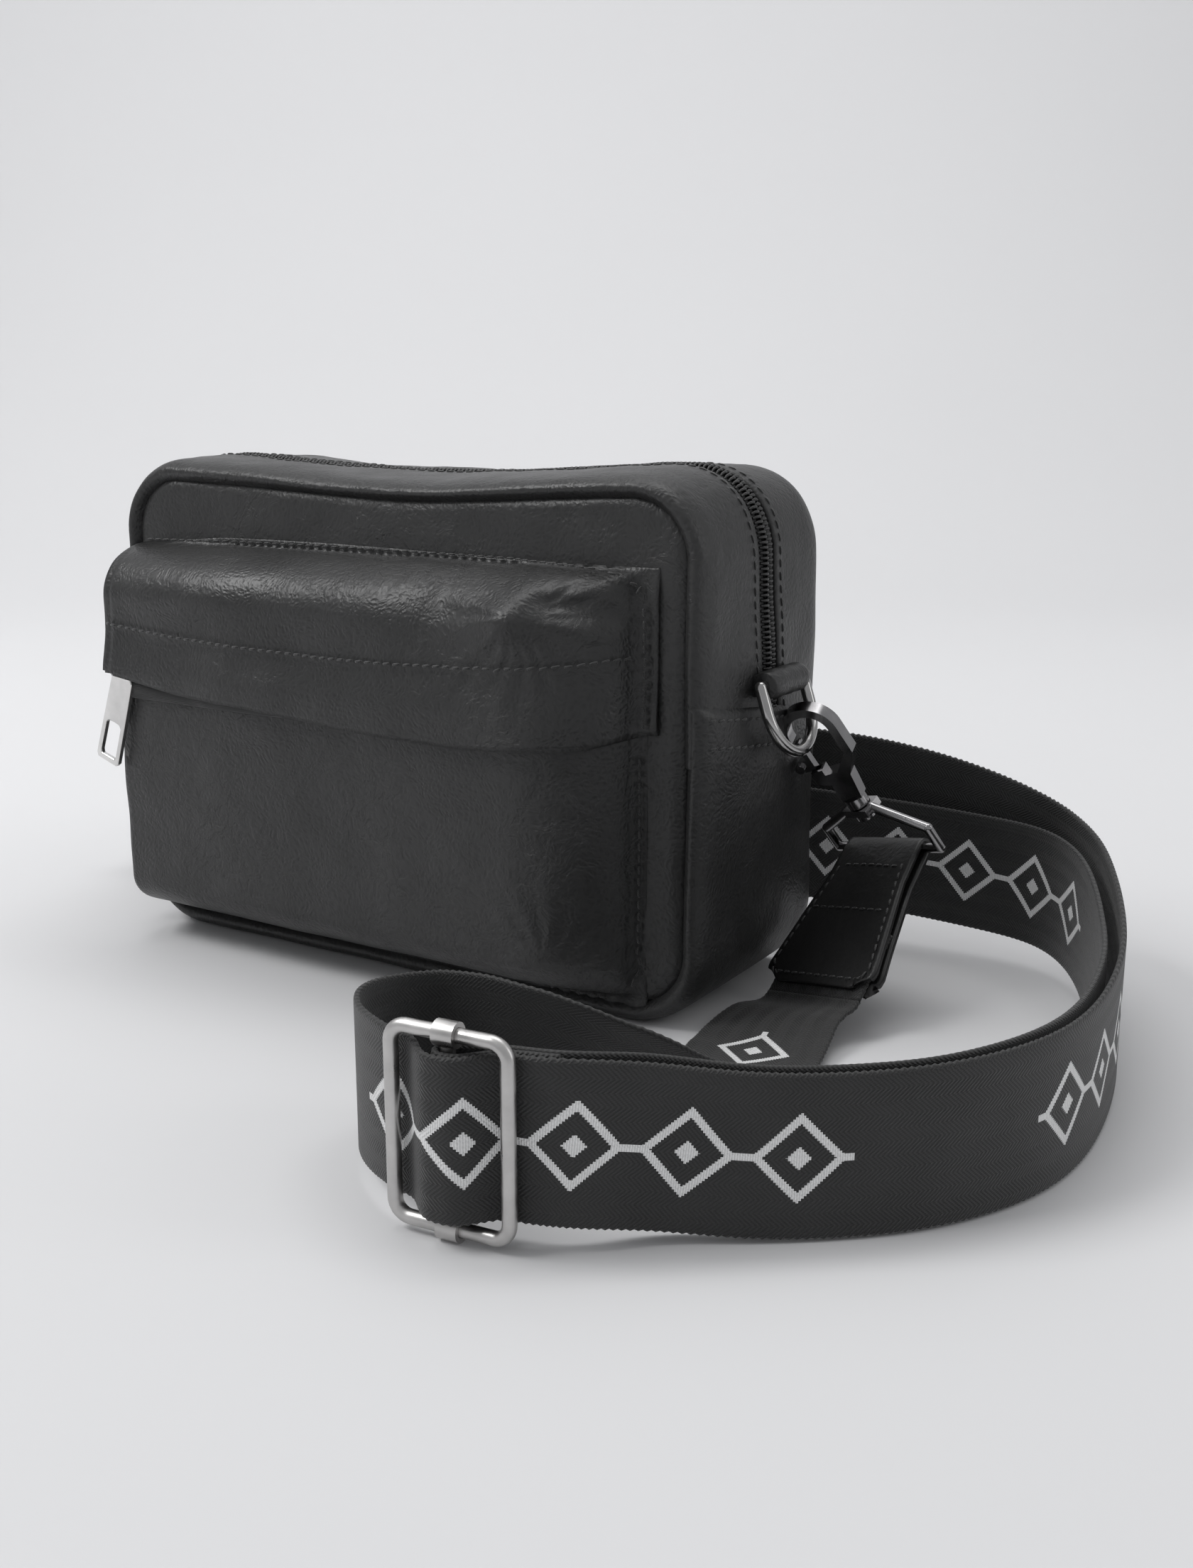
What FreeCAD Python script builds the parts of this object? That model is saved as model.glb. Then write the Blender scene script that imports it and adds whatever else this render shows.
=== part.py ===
import FreeCAD, Part
import math
import os
import Sketcher

V = FreeCAD.Vector
X_AXIS = V(1, 0, 0)
Y_AXIS = V(0, 1, 0)
Z_AXIS = V(0, 0, 1)

# Crossbody camera bag standing on its base. Millimetres, +Z up, +X the bag's right side as it is
# worn facing -Y, origin on the floor under the middle of the bag.
doc = FreeCAD.newDocument("camera_bag")
sheet = doc.addObject("Spreadsheet::Sheet", "dims")

DIMENSIONS = {
    # body of the bag
    "bag_width": 220, "bag_height": 158, "bag_depth": 76, "corner_radius": 24, "leather": 2.2,
    "seam_height": 92, "gusset_edge": 5.5, "panel_width": 215, "panel_height": 153,
    "panel_radius": 21.5, "panel_thick": 2.4, "panel_inset": 1.6, "board_thick": 2,
    "lining_thick": 0.8, "lining_gap": 6.5,
    # main zip
    "tape_thick": 0.6, "tape_inner": 3.2, "tape_outer": 12, "coil_slit": 0.9, "coil_edge": 3.1,
    "coil_thick": 2, "zip_sink": 2.7, "slider_length": 12, "slider_width": 9,
    "slider_low": 110, "pull_length": 24, "pull_width": 8, "pull_thick": 1.4,
    "pull_lean": 24,
    # front pocket
    "pocket_width": 186, "pocket_low": 12, "pocket_high": 104, "pocket_depth": 18,
    "pocket_wall": 1.8, "pocket_mouth": 6, "flap_width": 188, "flap_low": 82, "flap_high": 134,
    "flap_front": 24.2, "flap_wall": 1.6, "pocket_zip_height": 91, "pocket_pull_length": 35,
    # rings, hooks and strap
    "ring_wire": 1.75, "ring_half": 13.75, "ring_arm": 7, "ring_x": 115.2, "ring_z": 98,
    "loop_radius": 4.2, "loop_length": 23, "loop_bore": 1.83, "ring_tilt": 18,
    "hook_inner": 6.6, "hook_outer": 9.3, "hook_thick": 4.4, "hook_stem": 25.5,
    "collar_radius": 3.4, "rivet_radius": 1.6, "rivet_bore": 1.66, "rivet_head": 3.2,
    "yoke_wire": 1.5, "yoke_inner": 38.6, "yoke_rise": 8, "yoke_reach": 46.7, "yoke_plate": 2.6,
    "web_width": 38, "web_thick": 1.6, "tab_top": 30, "tab_bottom": 44, "tab_thick": 5.2,
    "tab_length": 50, "tab_bore": 1.56,
    "glide_wire": 1.7, "glide_width": 28.8, "glide_height": 44.4, "glide_corner": 4, "glide_z": 25.2,
    "glide_x": 119, "glide_y": -165, "glide_turn": 5,
}
for row, (alias, value) in enumerate(DIMENSIONS.items(), start=1):
    sheet.set("A%d" % row, alias)
    sheet.set("B%d" % row, str(value))
    sheet.setAlias("B%d" % row, alias)
doc.recompute()


def dim(alias):
    """Size from the sheet, for shapes and positions that are set in code."""
    return float(getattr(sheet, alias))


def bind(obj, prop, expression):
    """Drives one property from the sheet: every alias in the expression becomes dims.alias."""
    words = expression.replace("(", " ( ").replace(")", " ) ").split()
    obj.setExpression(prop, " ".join("dims." + w if w in DIMENSIONS else w for w in words))


nodes = []


def keep(obj, label, placement=None):
    """Marks a finished sub-part: its label is its file name."""
    obj.Label = label
    if placement is not None:
        obj.Placement = placement
    nodes.append(obj)
    return obj


# ---------------------------------------------------------------- sketches and simple solids
def new_sketch(body, name, role, offset):
    """Sketch on one of the body's origin planes, moved along the plane's normal."""
    sketch = body.newObject("Sketcher::SketchObject", name)
    plane = next(f for f in body.Origin.OriginFeatures if f.Role == role)
    sketch.AttachmentSupport = (plane, "")
    sketch.MapMode = "FlatFace"
    bind(sketch, "AttachmentOffset.Base.z", offset)
    return sketch


def driven(sketch, constraint, expression):
    """Adds a dimension to a sketch and drives it from the sheet."""
    index = sketch.addConstraint(constraint)
    bind(sketch, "Constraints[%d]" % index, expression)


def rounded_outline(sketch, width, height, base, radius, guess):
    """Rectangle with round corners, centred on the sketch's vertical axis, standing on base."""
    wide, tall, low, r = guess
    hw, top = wide / 2, low + tall
    corners = [(-hw, low), (hw, low), (hw, top), (-hw, top)]
    inward = [(1, 1), (-1, 1), (-1, -1), (1, -1)]
    lines = []
    arcs = []
    for i in range(4):
        (x0, y0), (x1, y1) = corners[i], corners[(i + 1) % 4]
        dx, dy = (x1 - x0), (y1 - y0)
        size = math.hypot(dx, dy)
        ux, uy = dx / size * r, dy / size * r
        start, end = V(x0 + ux, y0 + uy, 0), V(x1 - ux, y1 - uy, 0)
        lines.append(sketch.addGeometry(Part.LineSegment(start, end)))
    for i in range(4):
        (x, y), (sx, sy) = corners[i], inward[i]
        centre = V(x + sx * r, y + sy * r, 0)
        start = math.pi + i * math.pi / 2
        arc = Part.ArcOfCircle(Part.Circle(centre, Z_AXIS, r), start, start + math.pi / 2)
        arcs.append(sketch.addGeometry(arc))
    for i in range(4):
        sketch.addConstraint(Sketcher.Constraint("Tangent", lines[i - 1], 2, arcs[i], 1))
        sketch.addConstraint(Sketcher.Constraint("Tangent", arcs[i], 2, lines[i], 1))
    for i, kind in enumerate(["Horizontal", "Vertical", "Horizontal", "Vertical"]):
        sketch.addConstraint(Sketcher.Constraint(kind, lines[i]))
    for i in range(3):
        sketch.addConstraint(Sketcher.Constraint("Equal", arcs[i], arcs[i + 1]))
    driven(sketch, Sketcher.Constraint("Radius", arcs[0], r), radius)
    driven(sketch, Sketcher.Constraint("DistanceX", lines[3], 1, lines[1], 1, wide), width)
    driven(sketch, Sketcher.Constraint("DistanceX", -1, 1, lines[1], 1, hw), "( " + width + " ) / 2")
    driven(sketch, Sketcher.Constraint("DistanceY", lines[0], 1, lines[2], 1, tall), height)
    driven(sketch, Sketcher.Constraint("DistanceY", -1, 1, lines[0], 1, low), base)


def pad(body, sketch, name, length):
    feature = body.newObject("PartDesign::Pad", name)
    feature.Profile = sketch
    bind(feature, "Length", length)
    return feature


def cut_through(body, sketch, name):
    feature = body.newObject("PartDesign::Pocket", name)
    feature.Profile = sketch
    feature.Type = 1
    feature.Midplane = True
    return feature


def slab(label, outlines, back, depth):
    """Plate with round corners in the XZ plane, from y = back forwards by depth."""
    body = doc.addObject("PartDesign::Body", label)
    for i, outline in enumerate(outlines):
        sketch = new_sketch(body, label + "_outline%d" % i, "XZ_Plane", "-1 * ( " + back + " )")
        rounded_outline(sketch, *outline)
        if i == 0:
            pad(body, sketch, label + "_pad", depth)
        else:
            cut_through(body, sketch, label + "_hollow")
    return body


def band(label, back, depth, sink, thick, upper):
    """Band that follows the bag's outline: its upper part, over the top, or the lower part."""
    grow = [(name, dim(name)) for name in ("bag_width", "bag_height", "corner_radius")]
    outlines = []
    for inset in (sink, "( " + sink + " + " + thick + " )"):
        depth_in = sum(dim(w) if w in DIMENSIONS else float(w)
                       for w in inset.replace("(", "").replace(")", "").split() if w != "+")
        guess = (grow[0][1] - 2 * depth_in, grow[1][1] - 2 * depth_in, depth_in,
                 grow[2][1] - depth_in)
        outlines.append(("bag_width - 2 * " + inset, "bag_height - 2 * " + inset, inset,
                         "corner_radius - " + inset, guess))
    body = slab(label, outlines, back, depth)
    sketch = new_sketch(body, label + "_end", "XZ_Plane", "-1 * ( " + back + " )")
    low, height = ("-10", "seam_height + 10.2") if upper else ("seam_height", "bag_height")
    start = -10 if upper else dim("seam_height")
    tall = dim("seam_height") + 10.2 if upper else dim("bag_height")
    rounded_outline(sketch, "bag_width + 20", height, low, "1", (dim("bag_width") + 20, tall, start, 1))
    cut_through(body, sketch, label + "_ends")
    return keep(body, label)


def block(name, size, corner):
    """Box with its sizes and its low corner driven from the sheet."""
    box = doc.addObject("Part::Box", name)
    for prop, expression in zip(("Length", "Width", "Height"), size):
        bind(box, prop, expression)
    for prop, expression in zip("xyz", corner):
        bind(box, "Placement.Base." + prop, expression)
    return box


def rod(name, start, direction, radius, length):
    """Cylinder from start along direction."""
    cylinder = doc.addObject("Part::Cylinder", name)
    bind(cylinder, "Radius", radius)
    bind(cylinder, "Height", length)
    cylinder.Placement = FreeCAD.Placement(start, FreeCAD.Rotation(Z_AXIS, direction))
    return cylinder


def bend(name, centre, rotation, ring, wire, angle):
    """Part of a torus: a bent stretch of round wire."""
    torus = doc.addObject("Part::Torus", name)
    bind(torus, "Radius1", ring)
    bind(torus, "Radius2", wire)
    torus.Angle3 = angle
    torus.Placement = FreeCAD.Placement(centre, rotation)
    return torus


def joined(name, parts):
    fuse = doc.addObject("Part::MultiFuse", name)
    fuse.Shapes = parts
    return fuse


def minus(name, base, tool):
    cut = doc.addObject("Part::Cut", name)
    cut.Base = base
    cut.Tool = tool
    return cut


# ---------------------------------------------------------------- body of the bag
HALF_DEPTH = "bag_depth / 2"
panel_guess = (dim("panel_width"), dim("panel_height"), 2.5, dim("panel_radius"))
panel_outline = ("panel_width", "panel_height", "leather + 0.3", "panel_radius", panel_guess)
keep(slab("front_panel", [panel_outline], "-1 * bag_depth / 2 + panel_inset + panel_thick",
          "panel_thick"), "front_panel")
keep(slab("back_panel", [panel_outline], "bag_depth / 2 - panel_inset", "panel_thick"), "back_panel")

band("lower_gusset", HALF_DEPTH, "bag_depth", "0", "leather", False)
band("zip_gusset_front", "-1 * gusset_edge", "bag_depth / 2 - gusset_edge", "0", "leather", True)
band("zip_gusset_back", HALF_DEPTH, "bag_depth / 2 - gusset_edge", "0", "leather", True)
band("main_zip_tape_front", "-1 * tape_inner", "tape_outer - tape_inner", "2.4", "tape_thick", True)
band("main_zip_tape_back", "tape_outer", "tape_outer - tape_inner", "2.4", "tape_thick", True)
band("main_zip_coil_front", "-1 * coil_slit", "coil_edge - coil_slit", "1.7", "coil_thick", True)
band("main_zip_coil_back", "coil_edge", "coil_edge - coil_slit", "1.7", "coil_thick", True)

lining_guess = (dim("bag_width") - 13, dim("bag_height") - 13, 6.5, 17)
lining_inner = (dim("bag_width") - 14.6, dim("bag_height") - 14.6, 7.3, 16)
lining_size = "bag_depth - 2 * lining_gap"
keep(slab("lining", [
    ("bag_width - 2 * lining_gap", "bag_height - 2 * lining_gap", "lining_gap", "17", lining_guess),
    ("bag_width - 2 * lining_gap - 2 * lining_thick", "bag_height - 2 * lining_gap - 2 * lining_thick",
     "lining_gap + lining_thick", "16", lining_inner)], "bag_depth / 2 - lining_gap", lining_size),
    "lining")
keep(block("base_board", ("bag_width - 60", "bag_depth - 12", "board_thick"),
           ("-1 * bag_width / 2 + 30", "-1 * bag_depth / 2 + 6", "leather + 0.3")), "base_board")

# the zip's end stops, one at each end of the chain
stops = [block("stop_%d" % side, ("coil_thick", "2 * coil_edge", "2"),
               ("%d * ( bag_width / 2 - 3.4 ) - coil_thick / 2" % side, "-1 * coil_edge",
                "seam_height - 2")) for side in (-1, 1)]
keep(joined("main_zip_end_stops", stops), "main_zip_end_stops")

# slider parked at the left end: outer plate, inner plate and the post that runs in the coil's slit
left = "-1 * bag_width / 2"
post = block("slider_post", ("2.8", "1.2", "6"), (left + " + 1.3", "-0.6", "slider_low + 3"))
outer_plate = block("slider_outer", ("1.6", "slider_width", "slider_length"),
                    (left + " - 0.2", "-1 * slider_width / 2", "slider_low"))
inner_plate = block("slider_inner", ("1.2", "slider_width", "slider_length"),
                    (left + " + 4", "-1 * slider_width / 2", "slider_low"))
lugs = [block("slider_lug%d" % i, ("3.7", "1", "4"), (left + " - 3.8", y, "slider_low + 6"))
        for i, y in enumerate(("-3", "2"))]
pull_pivot = V(-dim("bag_width") / 2 - 2.4, 0, dim("slider_low") + 8)
bridge = rod("slider_bridge", pull_pivot - Y_AXIS * 3, Y_AXIS, "0.9", "6")
keep(joined("main_zip_slider", [post, outer_plate, inner_plate, bridge] + lugs), "main_zip_slider")


def zip_pull(name, length, pin_radius, window):
    """Flat pull hanging along -Z from a pin along Y: an eye, a blade and a long window."""
    eye = rod(name + "_eye", V(0, -1.8, 0), Y_AXIS, "%s" % (pin_radius + 0.9), "3.6")
    neck = block(name + "_neck", ("pull_thick", "3.6", "3"), ("-1 * pull_thick / 2", "-1.8", "-4"))
    blade = block(name + "_blade", ("pull_thick", "pull_width", length + " - 3"),
                  ("-1 * pull_thick / 2", "-1 * pull_width / 2", "-1 * " + length))
    bore = rod(name + "_bore", V(0, -5, 0), Y_AXIS, "%s" % (pin_radius + 0.05), "10")
    slot = block(name + "_slot", ("4", "pull_width - 3.4", window),
                 ("-2", "-1 * pull_width / 2 + 1.7", "-1 * " + length + " + 1.8"))
    solid = joined(name + "_solid", [eye, neck, blade])
    return minus(name, solid, joined(name + "_holes", [bore, slot]))


# the pull rests against the ring's leather loop below it
keep(zip_pull("main_zip_pull", "pull_length", 0.9, "8"), "main_zip_pull",
     FreeCAD.Placement(pull_pivot, FreeCAD.Rotation(Y_AXIS, dim("pull_lean"))))

# ---------------------------------------------------------------- front pocket
# boxy pocket, open at the back where it is sewn to the front panel, with the zip's mouth in front
panel_face = "-1 * bag_depth / 2 + panel_inset"
pocket_box = block("pocket_box", ("pocket_width", "pocket_depth", "pocket_high - pocket_low"),
                   ("-1 * pocket_width / 2", panel_face + " - pocket_depth", "pocket_low"))
pocket_hole = block("pocket_hole", ("pocket_width - 2 * pocket_wall", "pocket_depth",
                                    "pocket_high - pocket_low - 2 * pocket_wall"),
                    ("-1 * pocket_width / 2 + pocket_wall",
                     panel_face + " - pocket_depth + pocket_wall", "pocket_low + pocket_wall"))
pocket_slot = block("pocket_slot", ("pocket_width - 6", "10", "pocket_mouth + 4"),
                    ("-1 * pocket_width / 2 + 3", panel_face + " - pocket_depth - 5",
                     "pocket_zip_height - pocket_mouth / 2 - 2"))
keep(minus("pocket_body", pocket_box, joined("pocket_cuts", [pocket_hole, pocket_slot])), "pocket_body")

# storm flap: sloping top, upright front with a free lower edge, open at both ends
flap = doc.addObject("PartDesign::Body", "pocket_flap")
flap_sketch = new_sketch(flap, "flap_section", "YZ_Plane", "-1 * flap_width / 2")
back_y = -dim("bag_depth") / 2 + dim("panel_inset")
front_y = back_y - dim("flap_front")
wall = dim("flap_wall")
high, low = dim("flap_high"), dim("flap_low")
profile = [(back_y - 0.1, high), (front_y, high - 9), (front_y, low), (front_y + wall, low),
           (front_y + wall, high - 9 - wall), (back_y - 0.1, high - wall)]
for i, (y, z) in enumerate(profile):
    y_next, z_next = profile[(i + 1) % len(profile)]
    flap_sketch.addGeometry(Part.LineSegment(V(y, z, 0), V(y_next, z_next, 0)))
for i in range(len(profile)):
    flap_sketch.addConstraint(Sketcher.Constraint("Coincident", i, 2, (i + 1) % len(profile), 1))
for line in (1, 3, 5):
    flap_sketch.addConstraint(Sketcher.Constraint("Vertical", line))
flap_sketch.addConstraint(Sketcher.Constraint("Horizontal", 2))
driven(flap_sketch, Sketcher.Constraint("DistanceX", 2, 1, 2, 2, wall), "flap_wall")
driven(flap_sketch, Sketcher.Constraint("DistanceY", 5, 2, 5, 1, -wall), "-1 * flap_wall")
driven(flap_sketch, Sketcher.Constraint("DistanceY", -1, 1, 0, 1, high), "flap_high")
driven(flap_sketch, Sketcher.Constraint("DistanceY", -1, 1, 1, 2, low), "flap_low")
driven(flap_sketch, Sketcher.Constraint("DistanceY", -1, 1, 0, 2, high - 9), "flap_high - 9")
driven(flap_sketch, Sketcher.Constraint("DistanceX", 1, 1, -1, 1, -front_y),
       "bag_depth / 2 - panel_inset + flap_front")
driven(flap_sketch, Sketcher.Constraint("DistanceX", 0, 1, -1, 1, -back_y + 0.1),
       "bag_depth / 2 - panel_inset + 0.1")
driven(flap_sketch, Sketcher.Constraint("DistanceY", -1, 1, 3, 2, high - 9 - wall),
       "flap_high - 9 - flap_wall")
pad(flap, flap_sketch, "flap_pad", "flap_width")
keep(flap, "pocket_flap")

zip_y = panel_face + " - pocket_depth"
keep(block("pocket_zip_tape_lower", ("pocket_width - 9", "tape_thick", "5"),
           ("-1 * pocket_width / 2 + 4.5", zip_y + " + pocket_wall + 0.1", "pocket_zip_height - 8")),
     "pocket_zip_tape_lower")
keep(block("pocket_zip_tape_upper", ("pocket_width - 9", "tape_thick", "5"),
           ("-1 * pocket_width / 2 + 4.5", zip_y + " + pocket_wall + 0.1", "pocket_zip_height + 3")),
     "pocket_zip_tape_upper")
coils = [block("pocket_coil_%d" % i, ("pocket_width - 9", "1.8", "2"),
               ("-1 * pocket_width / 2 + 4.5", zip_y + " + 1.2", z))
         for i, z in enumerate(("pocket_zip_height - 2.9", "pocket_zip_height + 0.9"))]
keep(joined("pocket_zip_coil", coils), "pocket_zip_coil")

slide_x = "-1 * pocket_width / 2 + 5"
slide_low = "pocket_zip_height - 4"
pocket_parts = [
    block("pocket_slider_outer", ("11", "1.4", "8"), (slide_x, zip_y + " - 0.5", slide_low)),
    block("pocket_slider_inner", ("11", "1.2", "8"), (slide_x, zip_y + " + 3.5", slide_low)),
    block("pocket_slider_post", ("5", "3.4", "1.2"),
          (slide_x, zip_y + " + 0.5", "pocket_zip_height - 0.6")),
    block("pocket_slider_lug0", ("1", "3.3", "3"),
          (slide_x + " + 2.5", zip_y + " - 3.6", "pocket_zip_height - 1.5")),
    block("pocket_slider_lug1", ("1", "3.3", "3"),
          (slide_x + " + 7.5", zip_y + " - 3.6", "pocket_zip_height - 1.5")),
]
pocket_pivot = V(10.5 - dim("pocket_width") / 2, back_y - dim("pocket_depth") - 2.6,
                 dim("pocket_zip_height"))
pocket_parts.append(rod("pocket_slider_bridge", pocket_pivot - X_AXIS * 3, X_AXIS, "0.8", "6"))
keep(joined("pocket_zip_slider", pocket_parts), "pocket_zip_slider")
keep(zip_pull("pocket_zip_pull", "pocket_pull_length", 0.8, "10"), "pocket_zip_pull",
     FreeCAD.Placement(pocket_pivot, FreeCAD.Rotation(Z_AXIS, 90)))


# ---------------------------------------------------------------- rings and their leather loops
ORIGIN = V(0, 0, 0)
# each side's fittings are drawn on the right; the left ones are the same turned half round
SIDES = {"right": FreeCAD.Placement(), "left": FreeCAD.Placement(ORIGIN, FreeCAD.Rotation(Z_AXIS, 180))}


def ring_parts(label, turn):
    """Leather loop on the gusset and the D-ring that turns in it."""
    bar_middle = V(dim("ring_x"), 0, dim("ring_z"))
    half_loop = Y_AXIS * (dim("loop_length") / 2)
    roll = rod(label + "_roll", bar_middle - half_loop, Y_AXIS, "loop_radius", "loop_length")
    tongue = block(label + "_tongue", ("ring_x - bag_width / 2 - 0.05", "loop_length", "7"),
                   ("bag_width / 2 + 0.05", "-1 * loop_length / 2", "ring_z - 3.5"))
    bore = rod(label + "_bore", bar_middle - half_loop - Y_AXIS * 5, Y_AXIS, "loop_bore",
               "loop_length + 10")
    leather = joined(label + "_leather", [roll, tongue])
    keep(minus("d_loop_" + label, leather, bore), "d_loop_" + label, turn)
    # ring drawn hanging along -Z from a bar along Y, then tilted outwards
    h, arm = dim("ring_half"), dim("ring_arm")
    parts = [rod(label + "_bar", V(0, -h, 0), Y_AXIS, "ring_wire", "2 * ring_half"),
             bend(label + "_bow", V(0, 0, -arm), FreeCAD.Rotation(-Y_AXIS, -Z_AXIS, X_AXIS, "XYZ"),
                  "ring_half", "ring_wire", 180)]
    for i, y in enumerate((-h, h)):
        parts.append(rod(label + "_arm%d" % i, V(0, y, 0), -Z_AXIS, "ring_wire", "ring_arm"))
        ball = doc.addObject("Part::Sphere", label + "_ball%d" % i)
        bind(ball, "Radius", "ring_wire")
        ball.Placement.Base = V(0, y, 0)
        parts.append(ball)
    hang = FreeCAD.Placement(bar_middle, FreeCAD.Rotation(Y_AXIS, -dim("ring_tilt")))
    keep(joined("d_ring_" + label, parts), "d_ring_" + label, turn.multiply(hang))


for label, turn in SIDES.items():
    ring_parts(label, turn)


# ---------------------------------------------------------------- snap hooks and yokes
def unit(vector):
    return vector * (1 / vector.Length)


# before the half turn: point on each yoke's bar, the bar's direction, and where the hook sits on
# the ring's bow, in degrees from its lowest point towards the back
YOKES = {"right": (V(137, 31.5, 44.7), V(0.92, -0.345, 0.19), 45),
         "left": (V(136.4, -5.7, 34.3), X_AXIS, 0)}


def hook_frame(label):
    """Snap hook's axis towards its nose, direction to its spine, its throat on the ring's wire, and
    the direction of its yoke's bar."""
    tilt = math.radians(dim("ring_tilt"))
    bar_middle, bar_line, seat = YOKES[label]
    seat = math.radians(seat)
    drop = dim("ring_arm") + dim("ring_half") * math.cos(seat)
    spot = V(dim("ring_x") + drop * math.sin(tilt), dim("ring_half") * math.sin(seat),
             dim("ring_z") - drop * math.cos(tilt))
    wire_line = V(-math.sin(seat) * math.sin(tilt), math.cos(seat), math.sin(seat) * math.cos(tilt))
    along = unit(spot - bar_middle)
    spine = unit(unit(wire_line - along * wire_line.dot(along)).cross(along))
    return along, spine, spot, unit(bar_line - along * along.dot(bar_line))


def hook_parts(label, turn):
    """Hook body, gate, gate pin, swivel rivet and yoke, drawn with the throat's centre at the
    origin, the nose along +Z and the spine on +X, then placed."""
    along, spine, throat, bar_line = hook_frame(label)
    facing = FreeCAD.Rotation(spine, along.cross(spine), along, "ZXY")
    pose = turn.multiply(FreeCAD.Placement(throat, facing))
    r_in, r_out, stem = dim("hook_inner"), dim("hook_outer"), dim("hook_stem")
    half = dim("hook_thick") / 2

    body = doc.addObject("PartDesign::Body", "hook_body_" + label)
    sketch = new_sketch(body, "hook_outline_" + label, "XZ_Plane", "-1 * hook_thick / 2")
    tip = math.radians(188)
    tip_in = V(r_in * math.cos(tip), r_in * math.sin(tip), 0)
    tip_out = V(r_out * math.cos(tip), r_out * math.sin(tip), 0)
    outer_arc = sketch.addGeometry(Part.ArcOfCircle(Part.Circle(V(0, 0, 0), Z_AXIS, r_out), 0, tip))
    path = [tip_out, tip_in]
    sketch.addGeometry(Part.LineSegment(*path))
    inner_arc = sketch.addGeometry(Part.ArcOfCircle(Part.Circle(V(0, 0, 0), Z_AXIS, r_in), 0, tip))
    foot = [V(r_in, 0, 0), V(r_in, -9, 0), V(1.2, -14.6, 0), V(-3.2, -14.6, 0), V(-3.2, -stem, 0),
            V(3.4, -stem, 0), V(4.6, -16.5, 0), V(r_out, -9.5, 0), V(r_out, 0, 0)]
    for start, end in zip(foot, foot[1:]):
        sketch.addGeometry(Part.LineSegment(start, end))
    driven(sketch, Sketcher.Constraint("Radius", outer_arc, r_out), "hook_outer")
    driven(sketch, Sketcher.Constraint("Radius", inner_arc, r_in), "hook_inner")
    pad(body, sketch, "hook_pad_" + label, "hook_thick")
    collar_sketch = new_sketch(body, "hook_collar_" + label, "XY_Plane", "-1 * hook_stem - 3")
    circle = collar_sketch.addGeometry(Part.Circle(V(0, 0, 0), Z_AXIS, 3.4))
    driven(collar_sketch, Sketcher.Constraint("Radius", circle, 3.4), "collar_radius")
    collar_sketch.addConstraint(Sketcher.Constraint("Coincident", circle, 3, -1, 1))
    pad(body, collar_sketch, "collar_pad_" + label, "3.2")
    # ears for the gate's pin, either side of the gate
    ear_sketch = new_sketch(body, "hook_ears_" + label, "XZ_Plane", "-1 * hook_thick / 2")
    ear = [V(-3.1, -12.6, 0), V(-7, -12.6, 0), V(-7, -17.2, 0), V(-3.1, -18.6, 0)]
    for start, end in zip(ear, ear[1:] + ear[:1]):
        ear_sketch.addGeometry(Part.LineSegment(start, end))
    pad(body, ear_sketch, "ear_pad_" + label, "hook_thick")
    gap_sketch = new_sketch(body, "ear_gap_" + label, "XZ_Plane", "-1 * hook_thick / 2 + 0.9")
    gap = [V(-3.3, -10, 0), V(-9, -10, 0), V(-9, -20, 0), V(-3.3, -20, 0)]
    for start, end in zip(gap, gap[1:] + gap[:1]):
        gap_sketch.addGeometry(Part.LineSegment(start, end))
    gap_cut = body.newObject("PartDesign::Pocket", "ear_slot_" + label)
    gap_cut.Profile = gap_sketch
    gap_cut.Reversed = True
    bind(gap_cut, "Length", "hook_thick - 1.8")
    pin_sketch = new_sketch(body, "ear_bore_" + label, "XZ_Plane", "0")
    pin_circle = pin_sketch.addGeometry(Part.Circle(V(-5.2, -15, 0), Z_AXIS, 0.8))
    pin_sketch.addConstraint(Sketcher.Constraint("Radius", pin_circle, 0.8))
    cut_through(body, pin_sketch, "ear_hole_" + label)
    keep(body, "hook_body_" + label, pose)

    pin = rod("gate_pin_" + label, V(0, 0, 0), Y_AXIS, "0.8", "hook_thick")
    keep(pin, "gate_pin_" + label, pose.multiply(FreeCAD.Placement(V(-5.2, -half, -15),
                                                                   FreeCAD.Rotation(Z_AXIS, Y_AXIS))))
    # gate: blade from the pin up to the nose's tip, with a thumb piece outside
    hub = rod("gate_hub_" + label, V(-5.2, -1.2, -15), Y_AXIS, "1.5", "2.4")
    blade = block("gate_blade_" + label, ("1.7", "2.4", "13.1"), ("-6.8", "-1.2", "-15"))
    thumb = block("gate_thumb_" + label, ("2.4", "2.4", "4"), ("-9", "-1.2", "-12.4"))
    knob = rod("gate_knob_" + label, V(-9.6, -2.2, -10.4), Y_AXIS, "1.5", "4.4")
    hole = rod("gate_hole_" + label, V(-5.2, -5, -15), Y_AXIS, "0.85", "10")
    solid = joined("gate_solid_" + label, [hub, blade, thumb, knob])
    keep(minus("hook_gate_" + label, solid, hole), "hook_gate_" + label, pose)

    # swivel rivet: shank through the yoke's plate, head below it
    reach = dim("yoke_plate") + 0.6
    shank = rod("rivet_shank_" + label, V(0, 0, -stem - 3 - reach - 0.2), Z_AXIS, "rivet_radius",
                "%s" % (reach + 0.2))
    head = rod("rivet_cap_" + label, V(0, 0, -stem - 3 - reach - 1.6), Z_AXIS, "rivet_head", "1.6")
    keep(joined("hook_rivet_" + label, [shank, head]), "hook_rivet_" + label, pose)

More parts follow.
